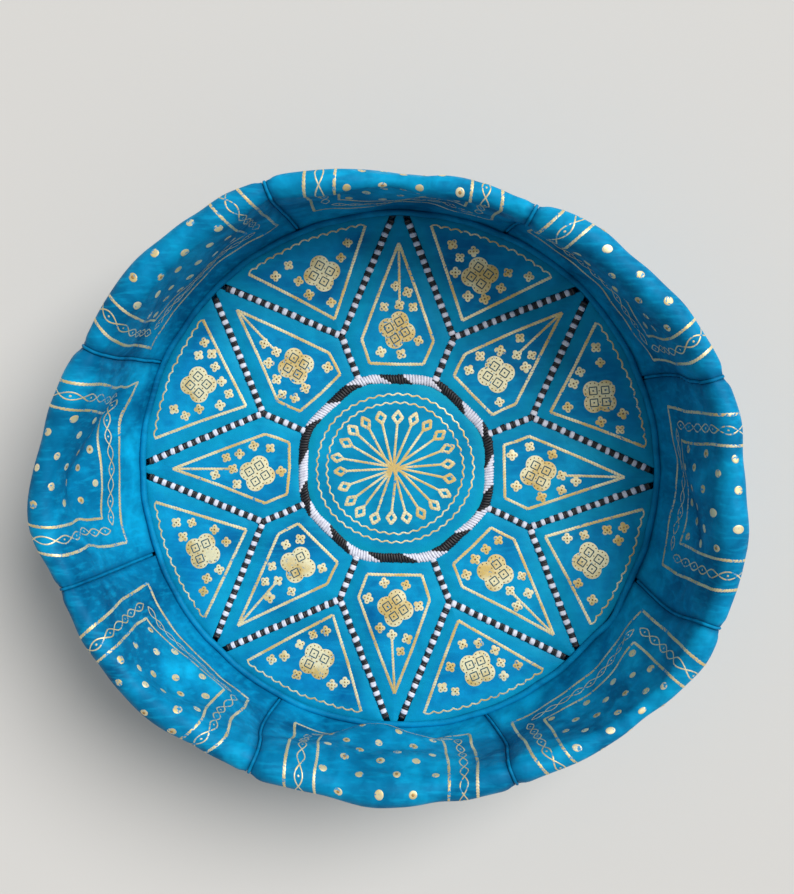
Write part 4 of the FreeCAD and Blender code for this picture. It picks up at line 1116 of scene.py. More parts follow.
def ring_colour(angle, place):
    """Above 0 where the ring is white: at an angle, and a place from -1 inside to 1 outside."""
    hand = 0.45 * np.sin(3 * angle + 1) + 0.3 * np.sin(7 * angle + 2)
    return np.cos(RING_CHANGES * angle + hand + COLOUR_SLANT * place) + 0.08


def ring_stitch(pile, angle, start, end, colour):
    """One bead across the ring, from one place to another."""
    outward, along = round_the_middle(np.array([angle]))
    steps = np.linspace(-1, 1, 9)
    places = (start + end) / 2 + (end - start) / 2 * steps
    plan = 0.4 + 0.6 * (1 - np.abs(steps) ** 4) ** 0.5
    arch = np.sqrt(1 - 0.7 * np.clip(places, -1, 1) ** 2)
    size = rng.normal(1, BEAD_UNEVEN, 2)
    pitch = FULL_TURN * RING_RADIUS / RING_STITCHES
    section_across, section_high = dome_section()
    centres = outward * (ring_reach(angle) + RING_LACE_HALF * places * size[0])[:, None]
    centres = centres + along * (STITCH_SLANT * places)[:, None] + np.array([0, 0, DISC_LEVEL])
    sides = np.repeat(along, len(steps), axis=0)
    wide = STITCH_SHARE * pitch * plan
    high = RING_LACE_HEIGHT * size[1] * arch * plan
    sweep(pile, centres, sides, upright_like(centres), section_across * wide[:, None],
          section_high * high[:, None], finish=colour)


print("a ring stitch is", round(FULL_TURN * RING_RADIUS / RING_STITCHES, 2), "mm from the next")

# %% [markdown]
# ## Whipping the ring
# The stitches are set down one after another round the ring. Where the two colours meet inside a stitch
# it is made of two beads that overlap a little; a part that would be too short to see is left to its
# neighbour. A dark core under them closes the gaps, as along the petals.

# %% Ring lacing
LEAST_PART = 0.35
PART_OVERLAP = 0.08
RING_CORE_SHARE = np.array([-0.85, -0.85, -0.5, 0.5, 0.85, 0.85])
pile = Pile()
across_ring = np.linspace(-1, 1, 41)
for angle in np.linspace(0, FULL_TURN, RING_STITCHES, endpoint=False):
    white = ring_colour(angle, across_ring) > 0
    change = across_ring[np.argmax(white != white[0])] if (white != white[0]).any() else 1.0
    if change + 1 < LEAST_PART or 1 - change < LEAST_PART:
        ring_stitch(pile, angle, -1, 1, int(white[len(white) // 2]))
        continue
    ring_stitch(pile, angle, -1, change + PART_OVERLAP, int(white[0]))
    ring_stitch(pile, angle, change - PART_OVERLAP, 1, int(white[-1]))
angles = np.linspace(0, FULL_TURN, 240, endpoint=False)
outward, along = round_the_middle(angles)
ups = upright_like(outward)
middles = outward * ring_reach(angles)[:, None] + ups * DISC_LEVEL
sweep(pile, middles, outward, ups, RING_LACE_HALF * RING_CORE_SHARE, CORE_HEIGHT * CORE_RISE, ring=True)
add_piece("ring_lacing", as_sewn(pile), LACING, ["ring_braid"])
print("ring stitches:", RING_STITCHES)

# %% [markdown]
# ## Piping round the top
# A cord in a strip of leather closes the disc's edge, its flange sewn in below. A torus could stand for
# it, but a tube that is perfectly even looks like plastic, so its radius and its line wander a little.

# %% Top piping
PIPING_RING = 208.9
PIPING_LEVEL = 31.5
PIPING_RADIUS = 2.5
FLANGE_HALF = 0.4
FLANGE_DEPTH = 6.6
PIPING_STATIONS = 720
PIPING_KINKS = ((-33, 5, 1.5), (-41, 6, -1.3), (-24, 7, -0.9), (152, 8, 1.0), (-160, 9, -0.9))


def apart(angle, other):
    """The smaller angle between two headings, signed, in radians."""
    return (angle - other + math.pi) % FULL_TURN - math.pi


def keyhole(radius, depth, half, count=14):
    """A round section with a thin flange below it."""
    gap = math.asin(half / radius)
    angles = np.linspace(gap - math.pi / 2, 1.5 * math.pi - gap, count)
    across = np.concatenate([radius * np.cos(angles), [-half, half]])
    high = np.concatenate([radius * np.sin(angles), [-depth, -depth]])
    return across, high


angles = np.linspace(0, FULL_TURN, PIPING_STATIONS, endpoint=False)
outward, along = round_the_middle(angles)
ups = upright_like(outward)
wander = 0.35 * np.sin(9 * angles + 0.4) + 0.25 * np.sin(23 * angles + 2) + 0.15 * np.sin(41 * angles)
for heading, spread, push in PIPING_KINKS:
    off = apart(angles, math.radians(heading))
    wander = wander + push * np.exp(-(off / math.radians(spread)) ** 2)
plump = 1 + 0.03 * np.sin(31 * angles + 1) + 0.025 * np.sin(57 * angles)
across, high = keyhole(PIPING_RADIUS, FLANGE_DEPTH, FLANGE_HALF)
centres = outward * (PIPING_RING + wander)[:, None] + ups * (PIPING_LEVEL + 0.5 * wander)[:, None]
pile = Pile()
sweep(pile, centres, outward, ups, across * plump[:, None], high * plump[:, None], ring=True)
add_piece("top_piping_leather", pile, [piping_leather], ["top_piping"])
print("piping stations:", PIPING_STATIONS)

# %% [markdown]
# ## The rim
# The wall rises from the disc, folds over at the rim and falls to the base. Seen from above the rim is
# an oval that hand work has pushed in and out in places, and its height sways, as slack leather does.
# It could be traced from a picture, but a short list of pushes, each with a heading, a spread and a
# size, is easier to change.

# %% Rim
RIM_LONG = 260.0
RIM_SHORT = 230.0
PANEL_BULGE = 0.6
SWAY_HEIGHT = 150
RIM_PUSHES = (
    (-168, 9, 7.0), (162, 14, -10.0), (-78, 22, 1.5), (-42, 16, 5.5), (2, 20, -8.0),
    (88, 26, -5.5), (112, 9, 7.0), (141, 12, -6.0), (45, 18, -6.0), (-22, 12, 6.0),
)
RIM_SWAY = ((2, 1.0, 2.2), (3, 0.7, 2.4), (5, 2.0, 1.6))


def rim_radius(angle):
    """The fold's outside at an angle: an oval, swollen in the panels, with a few pushes."""
    reach = (RIM_LONG + RIM_SHORT) / 2 - PANEL_BULGE
    reach = reach + (RIM_LONG - RIM_SHORT) / 2 * np.cos(2 * angle) + PANEL_BULGE * np.cos(POINTS * angle)
    for heading, spread, push in RIM_PUSHES:
        reach = reach + push * np.exp(-(apart(angle, math.radians(heading)) / math.radians(spread)) ** 2)
    return reach


def rim_sway(angle):
    """How far the rim stands above its even height, as slack leather does."""
    return sum(size * np.sin(count * angle + phase) for count, phase, size in RIM_SWAY)


print("rim radii:", rim_radius(np.radians([0.0, 90.0, 180.0, 270.0])).round(1))

# %% [markdown]
# ## The wall's section
# One strip of leather makes both walls of the bowl. At every angle its section is three tangent arcs,
# inner wall, fold and outer wall, so the leather's heading turns at a steady rate along each. Cloth
# could be simulated here, but arcs keep the wall where the construction has it. How far the walls lean
# follows from the rim, and a few rounds of guessing settle it.

# %% Wall section
WALL_RISE = 108.0
FOLD_RADIUS = 8.0
INNER_BOW = math.radians(9)
OUTER_BOW = math.radians(12)
FOOT = (212.0, 31.0)
WALL_END = (208.65, 5.36)
SETTLE_STEPS = 8


def arc_points(start, heading, turn, length, share):
    """Points along an arc, by the share of its length travelled."""
    end = heading + turn * share
    scale = length / turn
    out = start[0] + scale * (np.sin(end) - np.sin(heading))
    high = start[1] - scale * (np.cos(end) - np.cos(heading))
    return out, high


def wall_section(angle, stations):
    """Radius, height, heading and distance travelled, at stations from 0 (foot) to 3 (base)."""
    rim = rim_radius(angle)
    lean = np.full_like(angle, math.pi / 2)
    for _ in range(SETTLE_STEPS):
        top_radius = rim - FOLD_RADIUS * (1 + np.sin(lean))
        chord = np.arccos((top_radius - FOOT[0]) / WALL_RISE)
        lean = chord + INNER_BOW
    top = FOOT[0] + WALL_RISE * np.cos(chord), FOOT[1] + WALL_RISE * np.sin(chord)
    centre = top[0] + FOLD_RADIUS * np.sin(lean), top[1] - FOLD_RADIUS * np.cos(lean)
    fall = np.full_like(angle, math.pi / 2)
    for _ in range(SETTLE_STEPS):
        edge = centre[0] + FOLD_RADIUS * np.sin(fall), centre[1] - FOLD_RADIUS * np.cos(fall)
        drop = edge[0] - WALL_END[0], edge[1] - WALL_END[1]
        fall = np.arctan2(drop[1], drop[0]) + OUTER_BOW
    inner_length = np.full_like(angle, WALL_RISE * INNER_BOW / math.sin(INNER_BOW))
    fold_turn = fall - math.pi - lean
    fold_length = -fold_turn * FOLD_RADIUS
    outer_length = np.hypot(*drop) * OUTER_BOW / math.sin(OUTER_BOW)
    spans = ((FOOT, lean - 2 * INNER_BOW, 2 * INNER_BOW, inner_length, 0 * angle),
             (top, lean, fold_turn, fold_length, inner_length),
             (edge, fall - math.pi, -2 * OUTER_BOW, outer_length, inner_length + fold_length))
    parts = []
    for index, (start, heading, turn, length, before) in enumerate(spans):
        chosen = stations[(stations >= index) & ((stations < index + 1) | (index == 2))] - index
        share = chosen[:, None]
        turn = np.broadcast_to(turn, angle.shape)
        radius, height = arc_points(start, heading[None], turn[None], length[None], share)
        height = height + rim_sway(angle) * (height / SWAY_HEIGHT) ** 2
        parts.append((radius, height, heading + turn * share, before + length * share))
    return [np.concatenate(column) for column in zip(*parts)]


wall_length = wall_section(np.array([0.0]), np.array([0.0, 1.0, 2.0, 3.0]))[3][-1, 0]
print("leather from disc to base:", round(float(wall_length), 1), "mm")

# %% [markdown]
# ## Slack and folds of the wall
# Slack leather is never an exact arc: it tucks in along its seams, swells between them, puckers at the
# stitches and falls in soft folds. A sculptor would push these in one by one; here each is a small push
# along the surface's normal, and they are added up. The largest folds are the photograph's own: the
# front panel sags over the piping, and the left one has a slanting dent. A fold is a heading, a
# distance up the leather, a spread in degrees, a reach in millimetres and a depth.

# %% Slack and folds
SEAM_TUCK = 2.0
SEAM_REACH = 4.5
SEAM_SWELL = 0.9
SWELL_REACH = 26
PUCKER_PITCH = 9.0
PUCKER_SIZE = 0.35
PUCKER_REACH = 7
FOOT_EASE = 36
BASE_EASE = 70
HEM_EASE = 12
RIM_FILL = 5.0
RIM_FILL_AT = 90
RIM_FILL_REACH = 26
FOLDS = (
    (-91, 50, 12, 19, 24.0), (-91, 84, 14, 20, 9.0), (168, 40, 5, 13, -9.0),
    (174, 58, 5, 14, -11.0), (180, 76, 6, 14, -9.0), (163, 68, 6, 24, 5.0),
    (-132, 52, 11, 17, 9.0), (-139, 86, 9, 18, -5.0), (50, 52, 12, 22, -4.0),
    (91, 92, 19, 30, -9.0), (132, 60, 10, 20, 4.0), (-47, 94, 13, 34, -6.0),
    (-33, 40, 7, 24, 4.0), (4, 58, 9, 24, 4.5), (14, 84, 6, 20, -4.0),
)
hide_waves = [(rng.uniform(0.03, 0.09), rng.choice([6, 9, 13, 17]), rng.uniform(0, FULL_TURN),
               rng.uniform(0.25, 0.5)) for _ in range(9)]
hide_waves += [(rng.uniform(0.1, 0.3), rng.choice([21, 29, 37, 46]), rng.uniform(0, FULL_TURN),
                rng.uniform(0.06, 0.16)) for _ in range(10)]


def panel_push(angle, travelled, from_seam, total):
    """How far the leather stands out from the even section, in millimetres along its normal."""
    slack = np.clip(np.minimum(travelled / FOOT_EASE, (total - travelled) / BASE_EASE), 0, 1)
    push = -SEAM_TUCK * slack * np.exp(-(from_seam / SEAM_REACH) ** 2)
    push = push + SEAM_SWELL * (1 - np.exp(-(from_seam / SWELL_REACH) ** 2))
    fill = RIM_FILL * (1 + 0.35 * np.sin(3 * angle + 0.5) + 0.25 * np.sin(7 * angle + 2))
    push = push + fill * np.exp(-((travelled - RIM_FILL_AT) / RIM_FILL_REACH) ** 2)
    pucker = PUCKER_SIZE * np.sin(FULL_TURN * travelled / PUCKER_PITCH + 3 * angle)
    push = push + pucker * np.exp(-from_seam / PUCKER_REACH)
    for heading, height, spread, reach, size in FOLDS:
        sideways = apart(angle, math.radians(heading)) / math.radians(spread)
        push = push + size * np.exp(-sideways ** 2 - ((travelled - height) / reach) ** 2)
    for rate, around, phase, size in hide_waves:
        push = push + size * np.sin(rate * travelled + around * angle + phase)
    hem = np.clip(np.minimum(travelled, total - travelled) / HEM_EASE, 0, 1)
    return push * hem ** 0.7


print("folds:", len(FOLDS), "small waves:", len(hide_waves))

# %% [markdown]
# ## Seams that stray
# A seam sewn by hand does not run straight up the wall. Each of the eight has an S on its way up, a
# lean that is largest at the fold, and a small turn of its own, all judged from the photograph.
# Straight seams would be simpler, but a wall of eight equal panels looks machined.

# %% Seams
SEAM_BENDS = (2.0, -2.0, 2.0, 1.5, 1.0, -5.0, 4.0, -7.0)
SEAM_DRIFTS = np.radians([-0.2, -1.0, 0.0, -2.0, -3.2, -4.0, -1.6, -0.4])
SEAM_LEANS = (-9.0, -14.0, 0.0, 0.0, -5.0, 3.0, 15.0, 3.0)
# Painted shade: the leather is darkened beside each seam and hem, where the groove's shadow falls.
PAINTED_SEAM_SHADE = 0.8
PAINTED_SHADE_REACH = 2.4


def painted_seam_shade(distance):
    """Painted shade beside a seam or a hem: how much it darkens the leather there."""
    return PAINTED_SEAM_SHADE * np.exp(-(distance / PAINTED_SHADE_REACH) ** 2)


def seam_bend(number, travelled):
    """How far a seam strays round the wall, in radians: an S and a lean at the fold."""
    rise = travelled / WALL_RISE
    bend = SEAM_BENDS[number % POINTS] / RIM_SHORT * np.sin(math.pi * rise) * np.exp(-(rise / 1.2) ** 4)
    lean = SEAM_LEANS[number % POINTS] / RIM_SHORT * np.sin(math.pi * travelled / travelled[-1:])
    return bend + lean + SEAM_DRIFTS[number % POINTS]


print("largest lean of a seam:", max(SEAM_LEANS, key=abs), "mm")

# %% [markdown]
# ## Side panels
# Eight panels make the wall. Each is a grid that runs from seam to seam and from the disc over the fold
# to the base. The section gives its plain shape, the seams bend its two sides, and the pushes make it
# slack. The grid is kept for later, because the gilding is laid on it.

# %% Side panels
PANEL_COLUMNS = 61
SEAM_HALF = 1.7
HIDE = 1.6
FOOT_TUCK = (2.2, 1.6)
stations = np.concatenate([np.linspace(0, 1, 34)[:-1], np.linspace(1, 2, 18)[:-1], np.linspace(2, 3, 40)])


def surface_normals(grid):
    """Unit normals of a grid of points."""
    normal = np.cross(np.gradient(grid, axis=0), np.gradient(grid, axis=1))
    return normal / np.linalg.norm(normal, axis=-1, keepdims=True)


def panel_grid(middle):
    """A panel's outside: its points, its normals and the distances up and across it."""
    share = np.linspace(-1, 1, PANEL_COLUMNS)
    share = 0.8 * share + 0.2 * np.sin(share * math.pi / 2)
    angle = middle * STEP + HALF_STEP * share
    radius, height, heading, travelled = wall_section(angle, stations)
    before, after = seam_bend(middle - 1, travelled), seam_bend(middle, travelled)
    angle = angle + before + (after - before) * (share + 1) / 2
    outward, along = round_the_middle(angle)
    grid = radius[..., None] * outward + height[..., None] * UPRIGHT
    grid = grid - (SEAM_HALF * share)[None, :, None] * along
    normal = -np.sin(heading)[..., None] * outward + np.cos(heading)[..., None] * UPRIGHT
    from_seam = radius * HALF_STEP * (1 - np.abs(share))[None]
    push = panel_push(angle, travelled, from_seam, travelled[-1:])
    grid = grid + push[..., None] * normal
    tuck = np.clip(1 - travelled / 4, 0, 1)[..., None]
    grid = grid + tuck * (-FOOT_TUCK[0] * outward - FOOT_TUCK[1] * UPRIGHT)
    steps = np.linalg.norm(np.diff(grid, axis=1), axis=-1)
    across = np.concatenate([np.zeros((len(stations), 1)), np.cumsum(steps, axis=1)], axis=1)
    across = across - across[:, PANEL_COLUMNS // 2, None]
    return grid, normal, travelled, across, from_seam


panels = []
for number in range(POINTS):
    grid, normal, travelled, across, from_seam = panel_grid(number)
    from_hem = np.minimum(travelled, travelled[-1:] - travelled)
    pile = Pile()
    # The mark is painted shade along the panel's seams and hems.
    closed_sheet(pile, grid, grid - HIDE * normal, painted_seam_shade(np.minimum(from_seam, from_hem)))
    add_piece(f"side_leather_{number + 1}", pile, [wall_leather],
              [f"side_panel_{number + 1}"])
    steps_up = np.linalg.norm(np.diff(grid, axis=0), axis=-1).mean(axis=1)
    panels.append((grid, surface_normals(grid), np.concatenate([[0], np.cumsum(steps_up)]), across))
print("first panel with its folds, from disc to base:", round(float(panels[0][2][-1]), 1), "mm")

# %% [markdown]
# ## Side seams
# A thin welt fills each seam between two panels. It could be a curve drawn by hand, but it has to stay
# with the panels, so it follows the wall's own section at that angle, a little below the panels' swell,
# and wanders as a hand-guided seam does. Behind it lie the panels' turned-in edges, drawn as one flat
# ribbon, so that no light comes through the seam.

# %% Side welts
WELT_RADIUS = 1.25
WELT_SETBACK = 0.02
TURNED_EDGES = (3.6, 0.4)
TURNED_DEPTH = 1.2
WELT_SINK = 0.35
pile = Pile()
seam_stations = np.concatenate([np.linspace(WELT_SETBACK, 1, 46)[:-1], np.linspace(1, 2, 20)[:-1],
                                np.linspace(2, 3 - WELT_SETBACK, 56)])
for number in range(POINTS):
    heading = np.array([HALF_STEP + number * STEP])
    radius, height, course, travelled = (column[:, 0] for column in wall_section(heading, seam_stations))
    heading = heading + seam_bend(number, travelled)
    outward, along = round_the_middle(heading)
    normal = -np.sin(course)[:, None] * outward + np.cos(course)[:, None] * UPRIGHT
    push = panel_push(heading, travelled, np.zeros_like(travelled), travelled[-1])
    centres = radius[:, None] * outward + height[:, None] * UPRIGHT
    centres = centres + normal * (push - WELT_SINK + waver(travelled, 60, 0.1))[:, None]
    angles = np.linspace(0, FULL_TURN, 10, endpoint=False)
    sweep(pile, centres, along, normal, WELT_RADIUS * np.cos(angles), WELT_RADIUS * np.sin(angles))
    sweep(pile, centres - TURNED_DEPTH * normal, along, normal, TURNED_EDGES[0] * np.cos(angles),
          TURNED_EDGES[1] * np.sin(angles))
add_piece("side_seam_welts", pile, [welt_leather], ["side_welts"])
print("welts:", POINTS)

# %% [markdown]
# ## Stamping by hand
# The stamps are set by hand on the real leather, so corners are a little off and the small flowers lie
# where there is room. Their places could be listed one by one, but it is quicker to draw them from a
# seeded chance: a flower that would land on another one, or outside the lines, is drawn again.

# %% Stamping
FLOWER_RADIUS = 4.35
FLOWER_ROOM = 10.8
LINE_SLIP = 0.4
STAMP_TRIES = 600


def hand_shift(points, amount):
    """Corners as a hand sets them, a little off."""
    return np.asarray(points, float) + rng.normal(0, amount, np.shape(points))


def scatter_flowers(pile, lay, room, count, taken, box):
    """Stamps flowers where there is room, clear of what is already there."""
    placed = 0
    for _ in range(STAMP_TRIES):
        spot = rng.uniform(box[0], box[1])
        clear = all(np.hypot(*(spot - other)) > reach for other, reach in taken)
        if not clear or room(spot[None])[0] < 0:
            continue
        flower(pile, lay, spot, FLOWER_RADIUS * rng.uniform(0.92, 1.08), rng.uniform(0, FULL_TURN))
        taken.append((spot, FLOWER_ROOM))
        placed += 1
        if placed == count:
            break
    return placed


def inside_lines(corners):
    """A function that gives how far flat points lie inside a convex outline."""
    corners = np.asarray(corners, float)
    sides = np.roll(corners, -1, axis=0) - corners
    inward = np.stack([-sides[:, 1], sides[:, 0]], axis=1) / np.linalg.norm(sides, axis=1, keepdims=True)

    def depth(points):
        return np.min([(points - corner) @ direction for corner, direction in zip(corners, inward)], axis=0)
    return depth


print("flowers stay", FLOWER_ROOM, "mm apart")

# %% [markdown]
# ## Gilding of a petal
# Every petal has a kite outline, a stem that comes down from its tip to a small flower, one rosette and
# a scatter of small flowers. It is drawn flat with the petal along X, and the petal's lay function puts
# it in place, so one drawing serves all eight.

# %% Petal gilding
LINE_WIDTH = 2.2
KITE_TIP = 184.0
KITE_SHOULDER = (107.0, 29.0)
KITE_FOOT = (88.5, 22.0)
STEM_END = 140.0
STEM_SHARE = 0.85
STEM_FLOWER = (3.5, 0)
STEM_FLOWER_ROOM = 10.5
PETAL_ROSETTE = 115.0
PETAL_ROSETTE_SLIP = 1.8
KITE_SLIP = 0.7
PETAL_FLOWERS = 7
PETAL_MARGIN = 5.6
PETAL_BOX = ((86, -30), (150, 30))
ROSETTE_ROOM = 19.0


def gild_petal(pile, lay):
    """Draws one petal's gold and gives the number of its scattered flowers."""
    kite = hand_shift([(KITE_FOOT[0], -KITE_FOOT[1]), (KITE_SHOULDER[0], -KITE_SHOULDER[1]), (KITE_TIP, 0),
                       KITE_SHOULDER, KITE_FOOT], KITE_SLIP)
    for first, second in zip(kite, np.roll(kite, -1, axis=0)):
        bend = (first + second) / 2 + rng.normal(0, LINE_SLIP, 2)
        foil_line(pile, lay, [first, bend, second], LINE_WIDTH)
    stem = np.array([STEM_END + rng.uniform(-3, 3), rng.uniform(-2.5, 2.5)])
    foil_line(pile, lay, [kite[2] - (2, 0), stem], LINE_WIDTH * STEM_SHARE)
    flower(pile, lay, stem - STEM_FLOWER, FLOWER_RADIUS, rng.uniform(0, FULL_TURN))
    middle = np.array([PETAL_ROSETTE, 0]) + rng.normal(0, PETAL_ROSETTE_SLIP, 2)
    rosette(pile, lay, middle, rng.uniform(0, FULL_TURN))
    taken = [(middle, ROSETTE_ROOM), (stem - STEM_FLOWER, STEM_FLOWER_ROOM)]
    depth = inside_lines(kite)

    def petal_room(spot):
        return depth(spot) - PETAL_MARGIN
    return scatter_flowers(pile, lay, petal_room, PETAL_FLOWERS, taken, PETAL_BOX)


print("a petal gets up to", PETAL_FLOWERS, "scattered flowers")

# %% [markdown]
# ## Gilding of a fan
# Every fan has two straight lines that meet in a point, a scalloped arc along the piping, a rosette and
# flowers. The scallops are the positive halves of a sine wave along the arc. Petals and fans are gilded
# in turn, one piece of gilding for each piece of leather.

# %% Fan gilding
FAN_ROSETTE = 174.0
FAN_ROSETTE_SLIP = 2.0
FAN_VERTEX = 133.5
FAN_VERTEX_SLIP = 0.8
FAN_ARC = 200.5
FAN_ARC_HALF = math.radians(15.2)
FAN_ARC_SLIP = 0.006
FAN_FLOWERS = 10
FAN_MARGIN = 9.5
FAN_SIDE_EASE = 3.8
FAN_BOX = ((140, -50), (198, 50))
SCALLOPS = 13
SCALLOP_DEPTH = 1.9
SCALLOP_WIDTH = 1.2


def gild_fan(pile, lay):
    """Draws one fan's gold and gives the number of its scattered flowers."""
    ends = FAN_ARC_HALF + rng.normal(0, FAN_ARC_SLIP, 2)
    corners = [FAN_ARC * np.array([math.cos(a), math.sin(a)]) for a in (-ends[0], ends[1])]
    vertex = np.array([FAN_VERTEX, 0]) + rng.normal(0, FAN_VERTEX_SLIP, 2)
    for corner in corners:
        bend = (vertex + corner) / 2 + rng.normal(0, LINE_SLIP, 2)
        foil_line(pile, lay, [vertex, bend, corner], LINE_WIDTH)
    turn = np.linspace(-ends[0], ends[1], 400)
    wave = np.abs(np.sin(math.pi * SCALLOPS * (turn + ends[0]) / (ends[0] + ends[1])))
    reach = FAN_ARC - 0.6 + SCALLOP_DEPTH * wave ** 0.8 + waver(FAN_ARC * turn, 40, 0.25)
    scallops = reach[:, None] * np.stack([np.cos(turn), np.sin(turn)], axis=1)
    foil_line(pile, lay, scallops, SCALLOP_WIDTH, rope=0.1)
    middle = np.array([FAN_ROSETTE, 0]) + rng.normal(0, FAN_ROSETTE_SLIP, 2)
    rosette(pile, lay, middle, rng.uniform(0, FULL_TURN))
    depth = inside_lines([vertex, corners[0], corners[1]])

    def fan_room(spot):
        below_arc = FAN_ARC - 1 - np.hypot(spot[..., 0], spot[..., 1])
        return np.minimum(depth(spot) + FAN_SIDE_EASE, below_arc) - FAN_MARGIN
    return scatter_flowers(pile, lay, fan_room, FAN_FLOWERS, [(middle, ROSETTE_ROOM)], FAN_BOX)


flowers = []
for number in range(POINTS):
    pile = Pile()
    flowers.append(gild_petal(pile, petal_lay(number * STEP)))
    add_piece(f"petal_gilding_{number + 1}", as_sewn(pile), GILDING)
    pile = Pile()
    flowers.append(gild_fan(pile, fan_lay(HALF_STEP + number * STEP)))
    add_piece(f"fan_gilding_{number + 1}", as_sewn(pile), GILDING)
print("flowers stamped:", flowers)

# %% [markdown]
# ## Gilding of the medallion
# Twenty-two rays end in lozenges inside two wavy circles. One ray could be copied round with an array,
# but it would look printed. So each is drawn on its own, from a centre that is a little off the disc's
# and with uneven lengths, which is what makes the real one lively.

# %% Medallion gilding
RAYS = 22
RAY_WIDTH = 1.9
RAY_REACH = 40.0
RAY_UNEVEN = 1.4
RAY_SLIP = 0.045
RAY_OFFSET = 0.35
HUB_SLIP = 1.2
HUB_OVERRUN = 2
LOZENGE = (10.2, 3.6)
LOZENGE_STROKE = 2.5
GILT_CENTRE = np.array([-0.9, 0.6])
WAVY_CIRCLES = ((55.8, 45), (63.4, 50))
WAVY_SIZE = 0.7
WAVY_WIDTH = 1.15
SMOOTH_ROPE = 0.08
pile = Pile()
for ray in range(RAYS):
    heading = FULL_TURN * (ray + RAY_OFFSET + rng.normal(0, RAY_SLIP)) / RAYS
    reach = RAY_REACH + rng.normal(0, RAY_UNEVEN)
    direction = np.array([math.cos(heading), math.sin(heading)])
    side = np.array([-direction[1], direction[0]])
    hub = GILT_CENTRE + rng.normal(0, HUB_SLIP, 2) - HUB_OVERRUN * direction
    foil_line(pile, medallion_lay, [hub, GILT_CENTRE + reach * direction], RAY_WIDTH, rope=SMOOTH_ROPE)
    length, half = LOZENGE[0] * rng.uniform(0.92, 1.08), LOZENGE[1] * rng.uniform(0.9, 1.1)
    near = GILT_CENTRE + reach * direction
    lozenge = [near, near + length / 2 * direction + half * side, near + length * direction,
               near + length / 2 * direction - half * side]
    foil_line(pile, medallion_lay, lozenge, LOZENGE_STROKE, closed=True, rope=SMOOTH_ROPE)
for reach, waves in WAVY_CIRCLES:
    turn = np.linspace(0, FULL_TURN, 900, endpoint=False)
    drift = 0.5 * np.sin(2 * turn + reach) + 0.4 * np.sin(5 * turn + 2)
    circle = reach + drift + WAVY_SIZE * np.sin(waves * turn)
    path = GILT_CENTRE + circle[:, None] * np.stack([np.cos(turn), np.sin(turn)], axis=1)
    foil_line(pile, medallion_lay, path, WAVY_WIDTH, closed=True, rope=SMOOTH_ROPE)
add_piece("medallion_gilding", as_sewn(pile), GILDING)
print("rays:", RAYS)

# %% [markdown]
# ## Laying gold on a folded panel
# The gold of a side panel is drawn flat, in distances across and up the leather, and then laid on the
# panel's own grid, so it runs over the rim and through every fold with it. A shrinkwrap could press it
# on, but it would slide at the fold; looking the place up in the grid keeps every distance along the
# leather.

# %% Laying on a panel
def panel_lay(panel):
    """A function that lays points, drawn across and up a flat panel, on its grid."""
    grid, normal, up, across = panel
    rows, columns = across.shape

    def lay(points, lift):
        row = np.interp(points[..., 1], up, np.arange(rows))
        low = np.clip(row.astype(int), 0, rows - 2)
        part = (row - low)[..., None]
        line = across[low] * (1 - part) + across[low + 1] * part
        found = [np.interp(u, widths, np.arange(columns)) for u, widths in zip(points[..., 0], line)]
        column = np.asarray(found)
        left = np.clip(column.astype(int), 0, columns - 2)
        share = (column - left)[..., None]

        def between(values):
            near = values[low, left] * (1 - share) + values[low, left + 1] * share
            far = values[low + 1, left] * (1 - share) + values[low + 1, left + 1] * share
            return near * (1 - part) + far * part
        return between(grid) + between(normal) * lift
    return lay


middle_of_first = panel_lay(panels[0])(np.array([[0.0, 100.0]]), 0.0)[0]
print("100 mm up the first panel's middle:", middle_of_first.round(1))

# %% [markdown]
# ## Frames and chains
# A frame is two rope lines, one inside the other, with a chain of pointed links between them. Each side
# is drawn on its own, because a hand tool stops at the corners. A link could be an outline of its own;
# two waves that cross give the whole chain in two strokes.

# %% Frames and chains
LINK_LENGTH = 12.5
UPRIGHT_LINK = 15.0
LINK_HALF = 3.0
LINK_WIDTH = 0.95
LINK_DOT = 0.8
LINK_DOT_CHANCE = 0.7


def frame_side(pile, lay, start, end, width):
    """One side of a frame, drawn with a slightly unsteady hand."""
    start, end = np.asarray(start, float), np.asarray(end, float)
    length = np.hypot(*(end - start))
    share = np.linspace(0, 1, max(int(length / 4), 2))
    across = np.array([-(end - start)[1], (end - start)[0]]) / length
    path = start + (end - start) * share[:, None] + across * waver(share * length, 90, 0.3)[:, None]
    foil_line(pile, lay, path, width)


def chain_side(pile, lay, start, end, link_length):
    """A chain of pointed links: two waves that cross, with a dot in most links."""
    start, end = np.asarray(start, float), np.asarray(end, float)
    length = np.hypot(*(end - start))
    links = max(int(round(length / link_length)), 1)
    share = np.linspace(0, 1, links * 12 + 1)
    across = np.array([-(end - start)[1], (end - start)[0]]) / length
    wave = LINK_HALF * np.sin(math.pi * links * share)
    for side in (1, -1):
        path = start + (end - start) * share[:, None] + across * (side * wave)[:, None]
        foil_line(pile, lay, path, LINK_WIDTH, rope=0.05)
    for link in range(links):
        if rng.random() < LINK_DOT_CHANCE:
            spot = start + (end - start) * (link + 0.5) / links
            foil_dot(pile, lay, spot, LINK_DOT, finish=GOLD, edge=FOIL_EDGE)


print("links are", LINK_LENGTH, "mm long, upright ones", UPRIGHT_LINK)

# %% [markdown]
# ## Gilding of the side panels
# Inside its frame each panel has a field of dots, in rows that are set off by half a step; some dots
# have a darker eye. The frames differ in width, as the panels do. The same frame goes on over the rim
# to the outside, where the photograph can't see it, because one panel holds one frame.

